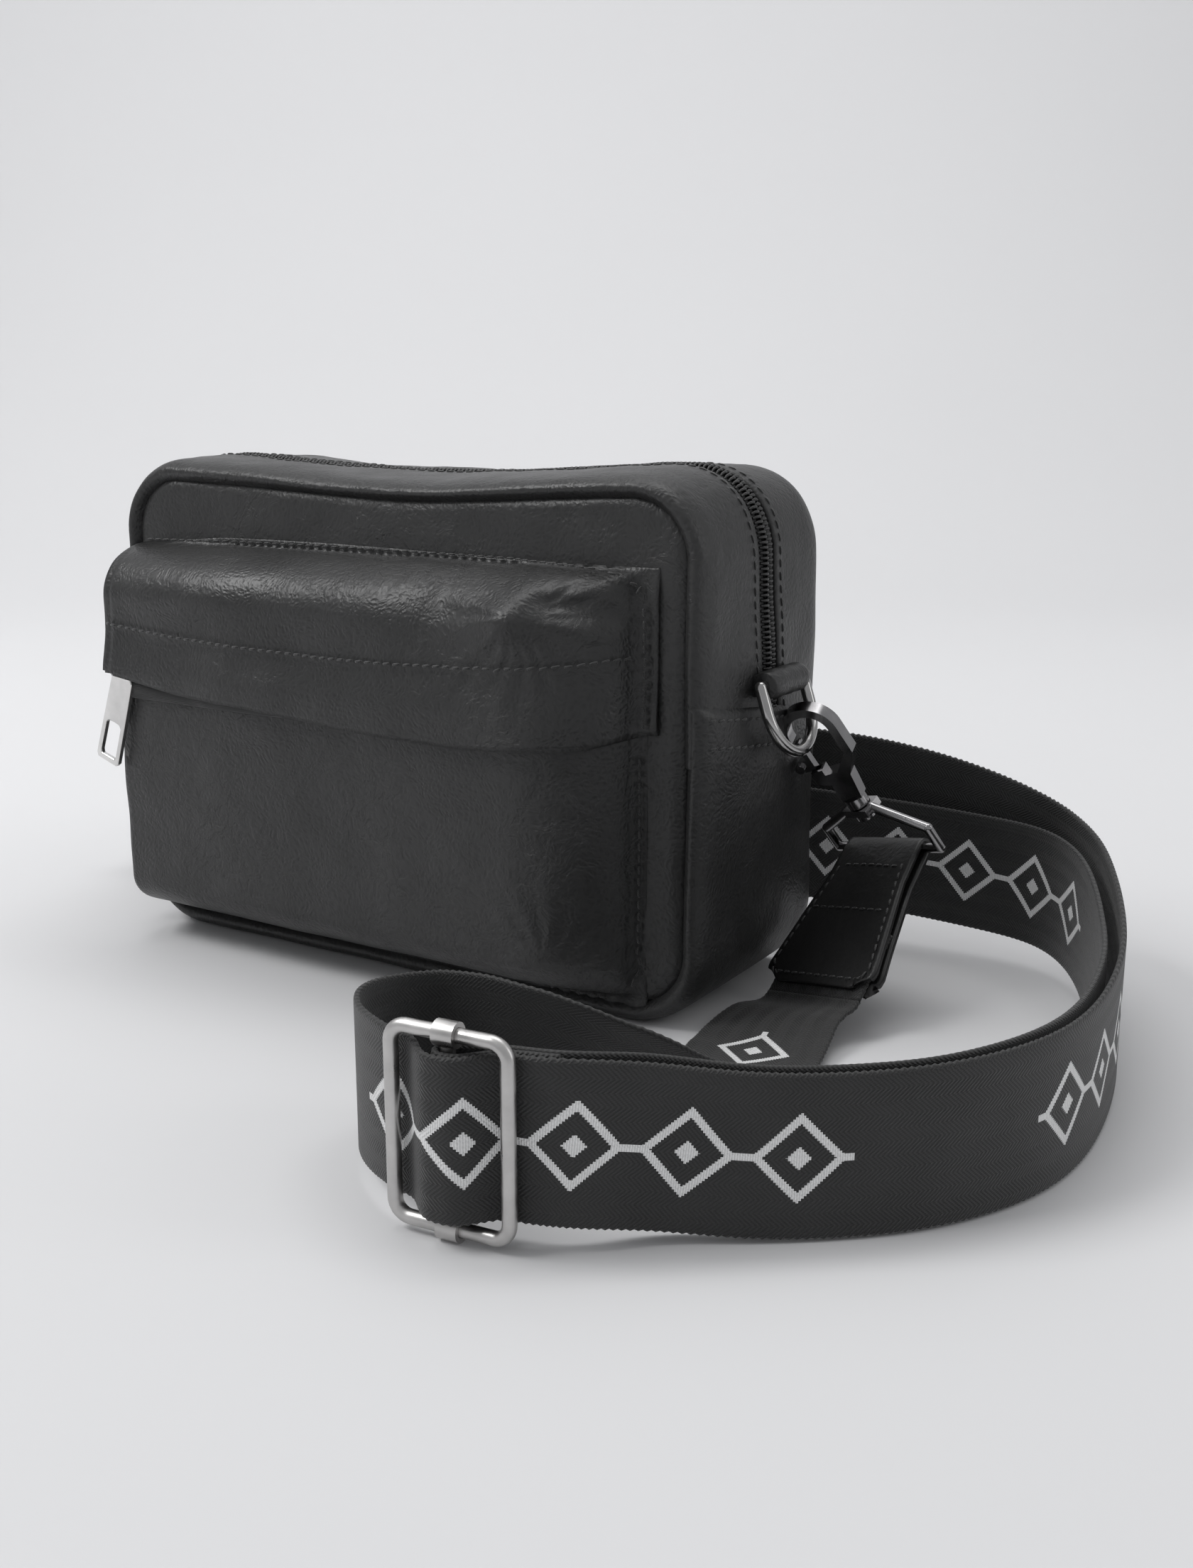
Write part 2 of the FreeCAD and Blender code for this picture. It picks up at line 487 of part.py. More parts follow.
    # yoke: round bar, two arms, two sloping shoulders and a drilled plate; its axis is the bar
    across = FreeCAD.Rotation(bar_line, along.cross(bar_line), along, "ZXY")
    yoke_pose = turn.multiply(FreeCAD.Placement(throat - along * dim("yoke_reach"), across))
    wire, span = dim("yoke_wire"), dim("yoke_inner") / 2 + dim("yoke_wire")
    rise = dim("yoke_rise")
    plate_mid = dim("yoke_reach") - stem - 3 - 0.3 - dim("yoke_plate") / 2
    corners = [V(-span, 0, 0), V(span, 0, 0), V(span, 0, rise), V(4, 0, plate_mid),
               V(-4, 0, plate_mid), V(-span, 0, rise)]
    pieces = []
    for i, start in enumerate(corners):
        end = corners[(i + 1) % len(corners)]
        if i != 3:
            pieces.append(rod("yoke_%s_run%d" % (label, i), start, unit(end - start), "yoke_wire",
                              "%s" % (end - start).Length))
        ball = doc.addObject("Part::Sphere", "yoke_%s_ball%d" % (label, i))
        bind(ball, "Radius", "yoke_wire * 1.02")
        ball.Placement.Base = start
        pieces.append(ball)
    plate = block("yoke_plate_" + label, ("9.4", "7", "yoke_plate"),
                  ("-4.7", "-3.5", "%s - yoke_plate / 2" % plate_mid))
    drill = rod("yoke_drill_" + label, V(0, 0, plate_mid - 5), Z_AXIS, "rivet_bore", "10")
    loop = joined("yoke_loop_" + label, pieces + [plate])
    keep(minus("yoke_" + label, loop, drill), "yoke_" + label, yoke_pose)
    return yoke_pose


yoke_right, yoke_left = [hook_parts(label, turn) for label, turn in SIDES.items()]

# ---------------------------------------------------------------- leather tab of the strap
# two leathers folded over the yoke's bar; drawn hanging along -Z from the bar, bar along X
half_web = dim("web_width") / 2
TAB_FOOT = V(131, -3, 10.3)
bar_line = yoke_right.Rotation.multVec(X_AXIS)
tab_down = TAB_FOOT - yoke_right.Base
tab_down = unit(tab_down - bar_line * tab_down.dot(bar_line))
tab_turn = FreeCAD.Rotation(bar_line, tab_down.cross(bar_line) * -1, tab_down * -1, "ZXY")
tab_pose = FreeCAD.Placement(yoke_right.Base, tab_turn)
tab = doc.addObject("PartDesign::Body", "tab_leather")
tab_sketch = new_sketch(tab, "tab_outline", "XZ_Plane", "-1 * tab_thick / 2")
top, foot_half, drop = dim("tab_top") / 2, dim("tab_bottom") / 2, dim("tab_length")
tab_outline = [V(-top, 2.6, 0), V(top, 2.6, 0), V(foot_half, 4 - drop, 0), V(foot_half - 4, -drop, 0),
               V(4 - foot_half, -drop, 0), V(-foot_half, 4 - drop, 0)]
for start, end in zip(tab_outline, tab_outline[1:] + tab_outline[:1]):
    tab_sketch.addGeometry(Part.LineSegment(start, end))
pad(tab, tab_sketch, "tab_pad", "tab_thick")
bore_sketch = new_sketch(tab, "tab_bore_section", "YZ_Plane", "0")
bore_circle = bore_sketch.addGeometry(Part.Circle(V(0, 0, 0), Z_AXIS, 1.56))
driven(bore_sketch, Sketcher.Constraint("Radius", bore_circle, 1.56), "tab_bore")
bore_sketch.addConstraint(Sketcher.Constraint("Coincident", bore_circle, 3, -1, 1))
cut_through(tab, bore_sketch, "tab_bore_cut")
gap_sketch = new_sketch(tab, "tab_gap", "XZ_Plane", "-1 * web_thick / 2 - 0.1")
web = dim("web_width") / 2 + 0.2
gap_low, gap_high = -drop - 5, -12
for start, end in [(V(-web, gap_low, 0), V(web, gap_low, 0)), (V(web, gap_low, 0), V(web, -30, 0)),
                   (V(web, -30, 0), V(13, gap_high, 0)), (V(13, gap_high, 0), V(-13, gap_high, 0)),
                   (V(-13, gap_high, 0), V(-web, -30, 0)), (V(-web, -30, 0), V(-web, gap_low, 0))]:
    gap_sketch.addGeometry(Part.LineSegment(start, end))
tab_gap = tab.newObject("PartDesign::Pocket", "tab_gap_cut")
tab_gap.Profile = gap_sketch
tab_gap.Reversed = True
bind(tab_gap, "Length", "web_thick + 0.2")
keep(tab, "tab_leather", tab_pose)
sewn_end = doc.addObject("PartDesign::Body", "webbing_sewn_end")
sewn_sketch = new_sketch(sewn_end, "sewn_outline", "XZ_Plane", "-1 * web_thick / 2")
end_low, end_high = -drop - 3, -31
sewn_outline = [V(-half_web, end_low, 0), V(half_web, end_low, 0), V(half_web, end_high, 0),
                V(-half_web, end_high, 0)]
for start, end in zip(sewn_outline, sewn_outline[1:] + sewn_outline[:1]):
    sewn_sketch.addGeometry(Part.LineSegment(start, end))
pad(sewn_end, sewn_sketch, "sewn_pad", "web_thick")
keep(sewn_end, "webbing_sewn_end", tab_pose)

# ---------------------------------------------------------------- tri-glide slider on the strap
glide_pose = FreeCAD.Placement(V(dim("glide_x"), dim("glide_y"), dim("glide_z")),
                               FreeCAD.Rotation(Z_AXIS, dim("glide_turn")))
gw, gh, gc = dim("glide_width") / 2, dim("glide_height") / 2, dim("glide_corner")
frame_parts = []
for s in (-1, 1):
    frame_parts.append(rod("glide_side%d" % s, V(s * gw, 0, gc - gh), Z_AXIS, "glide_wire",
                           "glide_height - 2 * glide_corner"))
    frame_parts.append(rod("glide_rail%d" % s, V(gc - gw, 0, s * gh), X_AXIS, "glide_wire",
                           "glide_width - 2 * glide_corner"))
for i, (sx, sz) in enumerate([(1, 1), (-1, 1), (-1, -1), (1, -1)]):
    turn = FreeCAD.Rotation(X_AXIS, 90)
    spin = FreeCAD.Rotation(Z_AXIS, i * 90)
    frame_parts.append(bend("glide_bend%d" % i, V(sx * (gw - gc), 0, sz * (gh - gc)), turn.multiply(spin),
                            "glide_corner", "glide_wire", 90))
keep(joined("glide_frame", frame_parts), "glide_frame", glide_pose)
centre_bar = rod("glide_core", V(0, 0, -gh + 2.6), Z_AXIS, "glide_wire", "glide_height - 5.2")
bushes = [rod("glide_bush%d" % s, V(-2.6, 0, s * gh), X_AXIS, "glide_wire + 1.2", "5.2") for s in (-1, 1)]
bush_bores = [rod("glide_bush_bore%d" % s, V(-6, 0, s * gh), X_AXIS, "glide_wire + 0.08", "12")
              for s in (-1, 1)]
bar_solid = joined("glide_bar_solid", [centre_bar] + bushes)
keep(minus("glide_bar", bar_solid, joined("glide_bar_bores", bush_bores)), "glide_bar", glide_pose)

# ---------------------------------------------------------------- webbing
# One ribbon: sewn end round the tri-glide's bar, inner run round the right loop and behind the bag
# to the left yoke, outer run back to the tri-glide, left loop, twist and lead to the leather tab.
def standing(points):
    """Stations on edge: (x, y, height of the lower edge)."""
    return [(V(x, y, z + half_web), Z_AXIS) for x, y, z in points]


def by_glide(points):
    """Stations on edge given in the tri-glide's own axes: along the strap, and back."""
    out = []
    for along, back in points:
        spot = glide_pose.multVec(V(along, back, 0))
        out.append((spot, Z_AXIS))
    return out


wrap = dim("glide_wire") + dim("web_thick") / 2 + 0.35
outer_wrap = wrap + dim("web_thick") + 0.4
tail = by_glide([(22.5, 7.5), (17.5, 6.3), (12.5, 5.0), (7, 1.2), (3, -2.4)])
turn_round = by_glide([(wrap * math.sin(a), -wrap * math.cos(a)) for a in
                       [math.radians(d) for d in (0, -45, -90, -135, -180)]])
leave = by_glide([(6, 5.4), (12.5, 7.4), (20, 8.9)])
inner_run = standing([
    (153, -141.5, 4), (171, -130, 1.6), (189, -116, 0.6), (201.5, -104, 0.6), (211, -89, 0.6),
    (217, -73, 0.6), (219.4, -56, 0.6), (218.6, -38, 0.8), (215, -15, 2), (207.5, 9, 4),
    (198, 33, 6.5), (187.5, 52, 8.5), (173, 66, 9.6), (153, 71.5, 10), (128, 71.5, 11),
    (100, 69, 12), (60, 67, 13), (10, 67, 15), (-45, 71, 17), (-93, 80, 18)])
outer_run = standing([
    (-93, 84, 20), (-45, 75.5, 23), (10, 71.5, 27), (60, 72, 30), (100, 74.5, 31), (128, 77, 28),
    (155, 77.5, 22), (177, 71.5, 16), (192, 57, 12), (203, 36, 8.5), (212.6, 10, 5.5),
    (219.4, -15, 3), (222.6, -39, 1), (223, -57, 0.6), (220.4, -75, 0.6), (214, -91.5, 0.6),
    (204, -106.7, 0.6), (191, -119.5, 0.6), (173, -133, 1.4), (155.5, -145.2, 3.8)])
over_bar = by_glide([(20, 4.4), (15.5, 3.5), (12, 2.9), (9, 0.8), (6, -2.4), (3, -4.5), (0, -outer_wrap),
                     (-3, -4.5), (-6, -2.4), (-9, 0.8), (-12, 2.9), (-15.5, 3.7), (-20, 5.6)])
left_loop = standing([(90, -156.5, 5.4), (79, -147, 3.8), (72.5, -136, 2.2), (72, -125, 1),
                      (79, -115, 0.6)])

# left end: round the yoke's bar, two layers side by side, turning upright along the bag's left side
bar_mid = yoke_left.Base
bar_dir = yoke_left.Rotation.multVec(X_AXIS)
leave_dir = V(0, 0.98, -0.06)
leave_dir = unit(leave_dir - bar_dir * leave_dir.dot(bar_dir))
outer_side = unit(bar_dir.cross(leave_dir))
yoke_wrap = dim("yoke_wire") + dim("web_thick") / 2 + 0.5


def near_bar(along, across):
    """Station near the left yoke, in the bar's own axes."""
    return (bar_mid + leave_dir * along + outer_side * across, bar_dir)


def beside_bag(offset):
    """Stations from the yoke to the back of the bag, to one side of the two layers' middle."""
    run = [(-136.6, 31, 32.6, 0.15), (-136.4, 42, 32.4, 0.45), (-135, 53, 33, 0.78),
           (-131.5, 64, 34.4, 1), (-123.5, 74.5, 35.8, 1), (-110.5, 81, 37, 1)]
    ends = [bar_mid + leave_dir * 16] + [V(x, y, z) for x, y, z, _ in run] + [V(-93, 82, 38)]
    out = []
    for i, (x, y, z, share) in enumerate(run, start=1):
        wide = bar_dir * (1 - share) + Z_AXIS * share
        heading = unit(ends[i + 1] - ends[i - 1])
        wide = unit(wide - heading * wide.dot(heading))
        out.append((V(x, y, z) + unit(wide.cross(heading)) * offset, wide))
    return out


LEFT_IN = beside_bag(-3.4)[::-1] + [near_bar(16, -2.8), near_bar(8, -yoke_wrap)]
LEFT_ROUND = [near_bar(-yoke_wrap * math.sin(a), -yoke_wrap * math.cos(a)) for a in
              [math.radians(d) for d in (0, 45, 90, 135, 180)]]
LEFT_OUT = [near_bar(8, yoke_wrap), near_bar(16, 2.8)] + beside_bag(3.4)

# right end: the lead turns flat on the floor and bends up into the tab
tab_axis = tab_pose.Rotation.multVec(X_AXIS)
tab_end = tab_pose.multVec(V(0, 0, -dim("tab_length") - 3.5))
lead = [(79, -115, 0), (91, -110.5, 5), (104, -107, 16), (115.5, -99.5, 36), (123.5, -87.5, 57),
        (128.5, -72.5, 75), (130.6, -56, 87), (129.6, -42, 90)]
twist = []
for before, (x, y, angle), after in zip(lead, lead[1:], lead[2:]):
    heading = unit(V(after[0] - before[0], after[1] - before[1], 0))
    flat = V(heading.y, -heading.x, 0)
    lean = math.radians(angle)
    height = 0.9 + half_web * math.cos(lean) + 0.6 * math.sin(lean)
    twist.append((V(x, y, height), Z_AXIS * math.cos(lean) + flat * math.sin(lean)))
twist += [(V(129.6, -42, 2.2), V(1, -0.08, 0)), (V(128.1, -32, 3.3), V(1, -0.05, 0.05)),
          (V(127.3, -23.5, 4.7), V(1, -0.16, 0.11)), (V(127.9, -16, 5.4), V(1, -0.29, 0.16))]
# the last bend, about the ribbon's own width, up to the tab's slope
lift = tab_down.cross(tab_axis)
level_angle = math.atan2(-tab_down.z, lift.z)
for part in (1, 2 / 3, 1 / 3, 0):
    angle = level_angle * part
    twist.append((tab_end + tab_down * 7 * math.sin(angle) + lift * 7 * (1 - math.cos(angle)), tab_axis))

stations = (tail + turn_round + leave + inner_run + LEFT_IN + LEFT_ROUND + LEFT_OUT + outer_run
            + over_bar + left_loop + twist)


def ribbon(stations, width, thick, steps):
    """Solid ribbon through stations (middle point, direction across the ribbon)."""
    points = [p for p, w in stations]
    widths = [w for p, w in stations]
    spots = [0.0]
    for a, b in zip(points, points[1:]):
        spots.append(spots[-1] + (b - a).Length)
    line = Part.BSplineCurve()
    line.interpolate(Points=points, Parameters=spots)
    sections = []
    for (a, wide_a), (b, wide_b) in zip(zip(spots, widths), zip(spots[1:], widths[1:])):
        count = max(1, int(round((b - a) / steps)))
        for i in range(count + (b == spots[-1])):
            share = i / count
            mark = a + (b - a) * share
            along = unit(line.tangent(mark)[0])
            wide = wide_a * (1 - share) + wide_b * share
            wide = unit(wide - along * wide.dot(along)) * (width / 2)
            normal = unit(along.cross(wide)) * (thick / 2)
            corners = [line.value(mark) + corner
                       for corner in (wide + normal, wide - normal, -wide - normal, -wide + normal)]
            sections.append(Part.makePolygon(corners + corners[:1]))
    return Part.makeLoft(sections, True, True)


webbing = doc.addObject("Part::Feature", "webbing_strap")
webbing.Shape = ribbon(stations, dim("web_width"), dim("web_thick"), 4.0)
keep(webbing, "webbing_strap")

# ---------------------------------------------------------------- check and write
doc.recompute()
for obj in doc.Objects:
    if "Invalid" in obj.State or "Error" in obj.State:
        raise RuntimeError("object %s is in state %s" % (obj.Name, obj.State))
for node in nodes:
    if node.Shape.isNull() or not node.Shape.isValid() or not node.Shape.Solids:
        raise RuntimeError("sub-part %s has no valid solid" % node.Label)
os.makedirs("parts", exist_ok=True)
for node in nodes:
    node.Shape.exportStep("parts/%s.step" % node.Label)
print("wrote %d sub-parts" % len(nodes))
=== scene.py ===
import bpy
import math
import numpy as np
from mathutils import Euler, Matrix, Vector, noise


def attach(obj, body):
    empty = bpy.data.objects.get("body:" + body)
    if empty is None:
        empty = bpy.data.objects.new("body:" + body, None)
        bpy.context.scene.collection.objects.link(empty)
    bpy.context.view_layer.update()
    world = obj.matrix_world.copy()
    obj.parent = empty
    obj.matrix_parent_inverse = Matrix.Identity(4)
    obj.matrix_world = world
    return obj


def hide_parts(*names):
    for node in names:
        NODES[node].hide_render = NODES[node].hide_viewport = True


# Leather crossbody camera bag. Lengths in the code are millimetres in the frame's own axes.
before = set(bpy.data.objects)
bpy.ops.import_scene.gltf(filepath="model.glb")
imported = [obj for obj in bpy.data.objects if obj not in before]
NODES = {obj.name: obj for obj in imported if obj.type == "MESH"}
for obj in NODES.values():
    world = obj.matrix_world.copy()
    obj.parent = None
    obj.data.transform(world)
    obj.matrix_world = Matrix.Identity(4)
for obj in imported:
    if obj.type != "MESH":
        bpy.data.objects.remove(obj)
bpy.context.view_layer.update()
MM = 0.001


# ---------------------------------------------------------------- small helpers
def smooth(t):
    t = min(max(t, 0.0), 1.0)
    return t * t * (3 - 2 * t)


def bump(x, centre, width):
    return math.exp(-((x - centre) / width) ** 2)


def lumps(x, y, z, size, seed=0.0):
    """Smooth noise from about -1 to 1, with features of that size."""
    return noise.noise(Vector((x / size + seed, y / size - seed, z / size + 0.37 * seed)))


def new_piece(name, verts, faces, mat, body="bag", uvs=None, flat=False):
    """A mesh from vertices in mm, riding on a body."""
    mesh = bpy.data.meshes.new(name)
    mesh.from_pydata([(x * MM, y * MM, z * MM) for x, y, z in verts], [], faces)
    if uvs is not None:
        layer = mesh.uv_layers.new(name="UVMap")
        corner = np.zeros(len(mesh.loops), np.int32)
        mesh.loops.foreach_get("vertex_index", corner)
        layer.data.foreach_set("uv", np.array(uvs, np.float32)[corner].ravel())
    if not flat:
        mesh.polygons.foreach_set("use_smooth", [True] * len(mesh.polygons))
    mesh.materials.append(mat)
    mesh.update()
    obj = bpy.data.objects.new(name, mesh)
    bpy.context.scene.collection.objects.link(obj)
    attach(obj, body)
    return obj


def grid_faces(rows, cols, close_rows=False, close_cols=False, flip=False, start=0):
    faces = []
    for i in range(rows if close_rows else rows - 1):
        for j in range(cols if close_cols else cols - 1):
            a, b = start + i * cols + j, start + i * cols + (j + 1) % cols
            c = start + ((i + 1) % rows) * cols + (j + 1) % cols
            d = start + ((i + 1) % rows) * cols + j
            faces.append((a, d, c, b) if flip else (a, b, c, d))
    return faces


def thicken(obj, thick, offset=-1):
    mod = obj.modifiers.new("thickness", "SOLIDIFY")
    mod.thickness = thick * MM
    mod.offset = offset
    return obj


def catmull(points, per):
    """Smooth curve through points, per samples to a span."""
    pts = np.array(points, float)
    ext = np.vstack([2 * pts[0] - pts[1], pts, 2 * pts[-1] - pts[-2]])
    out = []
    for i in range(1, len(ext) - 2):
        p0, p1, p2, p3 = ext[i - 1], ext[i], ext[i + 1], ext[i + 2]
        for k in range(per):
            t = k / per
            out.append(0.5 * (2 * p1 + (p2 - p0) * t + (2 * p0 - 5 * p1 + 4 * p2 - p3) * t ** 2
                              + (3 * p1 - p0 - 3 * p2 + p3) * t ** 3))
    out.append(ext[-2])
    return np.array(out)


# ---------------------------------------------------------------- materials
class Nodes:
    """Builds a material's node tree with short calls."""

    def __init__(self, name):
        self.mat = bpy.data.materials.new(name)
        self.mat.use_nodes = True
        self.tree = self.mat.node_tree
        self.shader = self.tree.nodes["Principled BSDF"]

    def add(self, kind, links=(), **values):
        node = self.tree.nodes.new(kind)
        for key, value in values.items():
            if hasattr(node, key):
                setattr(node, key, value)
            else:
                node.inputs[key.replace("_", " ")].default_value = value
        for socket, source in dict(links).items():
            self.tree.links.new(source, node.inputs[socket])
        return node

    def math(self, operation, a, b=0.0, c=0.0):
        node = self.tree.nodes.new("ShaderNodeMath")
        node.operation = operation
        for i, value in enumerate((a, b, c)):
            if isinstance(value, (int, float)):
                node.inputs[i].default_value = value
            else:
                self.tree.links.new(value, node.inputs[i])
        return node.outputs[0]

    def ramp(self, source, low, high, start=0.0, stop=1.0):
        node = self.tree.nodes.new("ShaderNodeMapRange")
        node.inputs["From Min"].default_value = start
        node.inputs["From Max"].default_value = stop
        node.inputs["To Min"].default_value = low
        node.inputs["To Max"].default_value = high
        self.tree.links.new(source, node.inputs["Value"])
        return node.outputs[0]

    def mix(self, fac, a, b):
        node = self.tree.nodes.new("ShaderNodeMix")
        node.data_type = "RGBA"
        for socket, value in ((node.inputs[0], fac), (node.inputs[6], a), (node.inputs[7], b)):
            if isinstance(value, (tuple, float, int)):
                socket.default_value = value
            else:
                self.tree.links.new(value, socket)
        return node.outputs[2]

    def bumps(self, layers):
        """Stacked bump nodes: (height socket, distance in mm, strength)."""
        last = None
        for height, distance, strength in layers:
            node = self.tree.nodes.new("ShaderNodeBump")
            node.inputs["Distance"].default_value = distance * MM
            node.inputs["Strength"].default_value = strength
            self.tree.links.new(height, node.inputs["Height"])
            if last is not None:
                self.tree.links.new(last, node.inputs["Normal"])
            last = node.outputs[0]
        self.tree.links.new(last, self.shader.inputs["Normal"])

    def place(self):
        return self.tree.nodes.new("ShaderNodeTexCoord").outputs["Object"]

    def set(self, **values):
        for key, value in values.items():
            socket = self.shader.inputs[key.replace("_", " ")]
            if isinstance(value, (int, float, tuple)):
                socket.default_value = value
            else:
                self.tree.links.new(value, socket)


def grey(v, alpha=1.0):
    return (v, v, v, alpha)


def leather(name, dark=0.012, light=0.026, rough=0.41, grain=1.0, crease=1.0):
    n = Nodes(name)
    place = n.place()
    warp = n.add("ShaderNodeTexNoise", {"Vector": place}, Scale=55.0, Detail=3.0)
    shifted = n.add("ShaderNodeMixRGB", {"Color1": place, "Color2": warp.outputs["Color"]}, Fac=0.012)
    cells = n.add("ShaderNodeTexVoronoi", {"Vector": shifted.outputs[0]}, Scale=700.0, feature="F1")
    small = n.add("ShaderNodeTexVoronoi", {"Vector": shifted.outputs[0]}, Scale=1150.0, feature="F1")
    fine = n.add("ShaderNodeTexNoise", {"Vector": place}, Scale=2600.0, Detail=4.0, Roughness=0.6)
    cloud = n.add("ShaderNodeTexNoise", {"Vector": place}, Scale=26.0, Detail=5.0, Roughness=0.55)
    wrinkle = n.add("ShaderNodeTexNoise", {"Vector": shifted.outputs[0]}, Scale=150.0, Detail=6.0,
                    Roughness=0.62, Distortion=0.9)
    creases = n.ramp(wrinkle.outputs["Fac"], 1.0, 0.0, 0.48, 0.56)
    folds = n.math("MULTIPLY", creases, n.ramp(cloud.outputs["Fac"], 0.0, 1.0, 0.46, 0.64))
    pores = n.ramp(cells.outputs["Distance"], 0.0, 1.0, 0.12, 0.62)
    n.bumps([(cloud.outputs["Fac"], 2.0, 0.35), (folds, 0.3, 0.5 * crease), (pores, 0.19, 0.45 * grain),
             (small.outputs["Distance"], 0.13, 0.4 * grain), (fine.outputs["Fac"], 0.04, 0.5)])
    tone = n.ramp(cloud.outputs["Fac"], 0.0, 1.0, 0.3, 0.72)
    base = n.mix(tone, grey(dark), grey(light))
    deep = n.mix(n.math("MULTIPLY", pores, 0.35), base, grey(light * 1.25))
    n.set(Base_Color=deep, Specular_IOR_Level=0.42,
          Roughness=n.math("ADD", n.ramp(cloud.outputs["Fac"], rough - 0.05, rough + 0.07, 0.3, 0.7),
                           n.ramp(fine.outputs["Fac"], -0.03, 0.03)))
    return n.mat


def metal(name, colour, rough, brush=0.0, scale=900.0):
    n = Nodes(name)
    place = n.place()
    cloud = n.add("ShaderNodeTexNoise", {"Vector": place}, Scale=140.0, Detail=5.0)
    scratch = n.add("ShaderNodeTexNoise", {"Vector": place}, Scale=scale, Detail=3.0)
    n.bumps([(scratch.outputs["Fac"], 0.02, 0.12 + brush), (cloud.outputs["Fac"], 0.15, 0.06)])
    dull = tuple(0.8 * c for c in colour)
    n.set(Metallic=1.0, Base_Color=n.mix(n.ramp(cloud.outputs["Fac"], 0.0, 1.0, 0.35, 0.7),
                                         (*dull, 1), (*colour, 1)),
          Roughness=n.ramp(cloud.outputs["Fac"], rough * 0.75, rough * 1.35, 0.3, 0.7))
    return n.mat


def thread(name, value=0.012, rough=0.5):
    n = Nodes(name)
    place = n.place()
    twist = n.add("ShaderNodeTexWave", {"Vector": place}, Scale=900.0, Distortion=1.2,
                  bands_direction="DIAGONAL")
    n.bumps([(twist.outputs["Fac"], 0.08, 0.5)])
    n.set(Base_Color=n.mix(twist.outputs["Fac"], grey(value * 0.6), grey(value * 1.5)), Roughness=rough,
          Sheen_Weight=0.25)
    return n.mat


def woven_tape(name):
    n = Nodes(name)
    place = n.place()
    rib = n.add("ShaderNodeTexWave", {"Vector": place}, Scale=620.0, Distortion=0.3, bands_direction="Y")
    cross = n.add("ShaderNodeTexWave", {"Vector": place}, Scale=620.0, Distortion=0.3, bands_direction="Z")
    weave = n.math("MULTIPLY", rib.outputs["Fac"], cross.outputs["Fac"])
    n.bumps([(weave, 0.15, 0.7)])
    n.set(Base_Color=n.mix(weave, grey(0.006), grey(0.016)), Roughness=0.85, Sheen_Weight=0.2)
    return n.mat


def nylon(name):
    n = Nodes(name)
    place = n.place()
    cloud = n.add("ShaderNodeTexNoise", {"Vector": place}, Scale=500.0, Detail=3.0)
    n.bumps([(cloud.outputs["Fac"], 0.05, 0.3)])
    n.set(Base_Color=n.mix(cloud.outputs["Fac"], grey(0.008), grey(0.018)),
          Roughness=n.ramp(cloud.outputs["Fac"], 0.3, 0.42))
    return n.mat


def webbing_cloth(name, motif):
    """Herringbone twill from the ribbon's own coordinates: U across in mm, V along in mm. The face
    has a plain geometric motif in pale thread."""
    n = Nodes(name)
    uv = n.add("ShaderNodeUVMap", uv_map="UVMap").outputs[0]
    parts = n.add("ShaderNodeSeparateXYZ", {"Vector": uv})
    across, along = parts.outputs[0], parts.outputs[1]
    strip = n.math("PINGPONG", across, 3.1)
    twill = n.math("SINE", n.math("MULTIPLY", n.math("ADD", along, n.math("MULTIPLY", strip, 1.05)), 5.6))
    ribs = n.math("SINE", n.math("MULTIPLY", along, 5.6))
    ends = n.math("SINE", n.math("MULTIPLY", across, 11.0))
    place = n.place()
    fuzz = n.add("ShaderNodeTexNoise", {"Vector": place}, Scale=2400.0, Detail=3.0)
    wear = n.add("ShaderNodeTexNoise", {"Vector": place}, Scale=60.0, Detail=4.0)
    base = n.mix(n.ramp(twill, 0.0, 1.0, -1.0, 1.0), grey(0.0075), grey(0.0235))
    base = n.mix(n.ramp(wear.outputs["Fac"], 0.0, 0.35, 0.4, 0.7), base, grey(0.03))
    heights = [(n.ramp(twill, 0.0, 1.0, -1.0, 1.0), 0.22, 0.55),
               (n.ramp(n.math("MULTIPLY", ribs, ends), 0.0, 1.0, -1.0, 1.0), 0.12, 0.45),
               (fuzz.outputs["Fac"], 0.06, 0.5)]
    if motif:
        # rows of linked lozenges and dots, stepped like a jacquard loom's threads
        row = n.math("SNAP", along, 0.55)
        cell = n.math("ABSOLUTE", n.math("SUBTRACT", n.math("MODULO", n.math("ADD", row, 888.0), 24.0), 12.0))
        middle = n.math("ABSOLUTE", n.math("SUBTRACT", across, 19.0))
        ring = n.math("ABSOLUTE", n.math("SUBTRACT", n.math("ADD", cell, middle), 9.2))
        lozenge = n.math("LESS_THAN", ring, 1.25)
        core = n.math("LESS_THAN", n.math("ADD", cell, middle), 2.7)
        ties = n.math("MULTIPLY", n.math("LESS_THAN", middle, 0.85), n.math("GREATER_THAN", cell, 9.0))
        group = n.math("LESS_THAN", n.math("MODULO", n.math("ADD", row, 888.0), 168.0), 120.0)
        mask = n.math("MINIMUM", 1.0, n.math("ADD", n.math("ADD", lozenge, core), ties))
        mask = n.math("MULTIPLY", mask, group)
        threads = n.ramp(n.math("SINE", n.math("MULTIPLY", along, 11.42)), 0.45, 1.0, -1.0, 1.0)
        pale = n.mix(threads, grey(0.42), grey(0.86))
        base = n.mix(mask, base, pale)
        heights.append((n.math("MULTIPLY", mask, threads), 0.3, 0.6))
    n.bumps(heights)
    n.set(Base_Color=base, Roughness=n.ramp(fuzz.outputs["Fac"], 0.52, 0.66), Sheen_Weight=0.15,
          Specular_IOR_Level=0.4)
    return n.mat


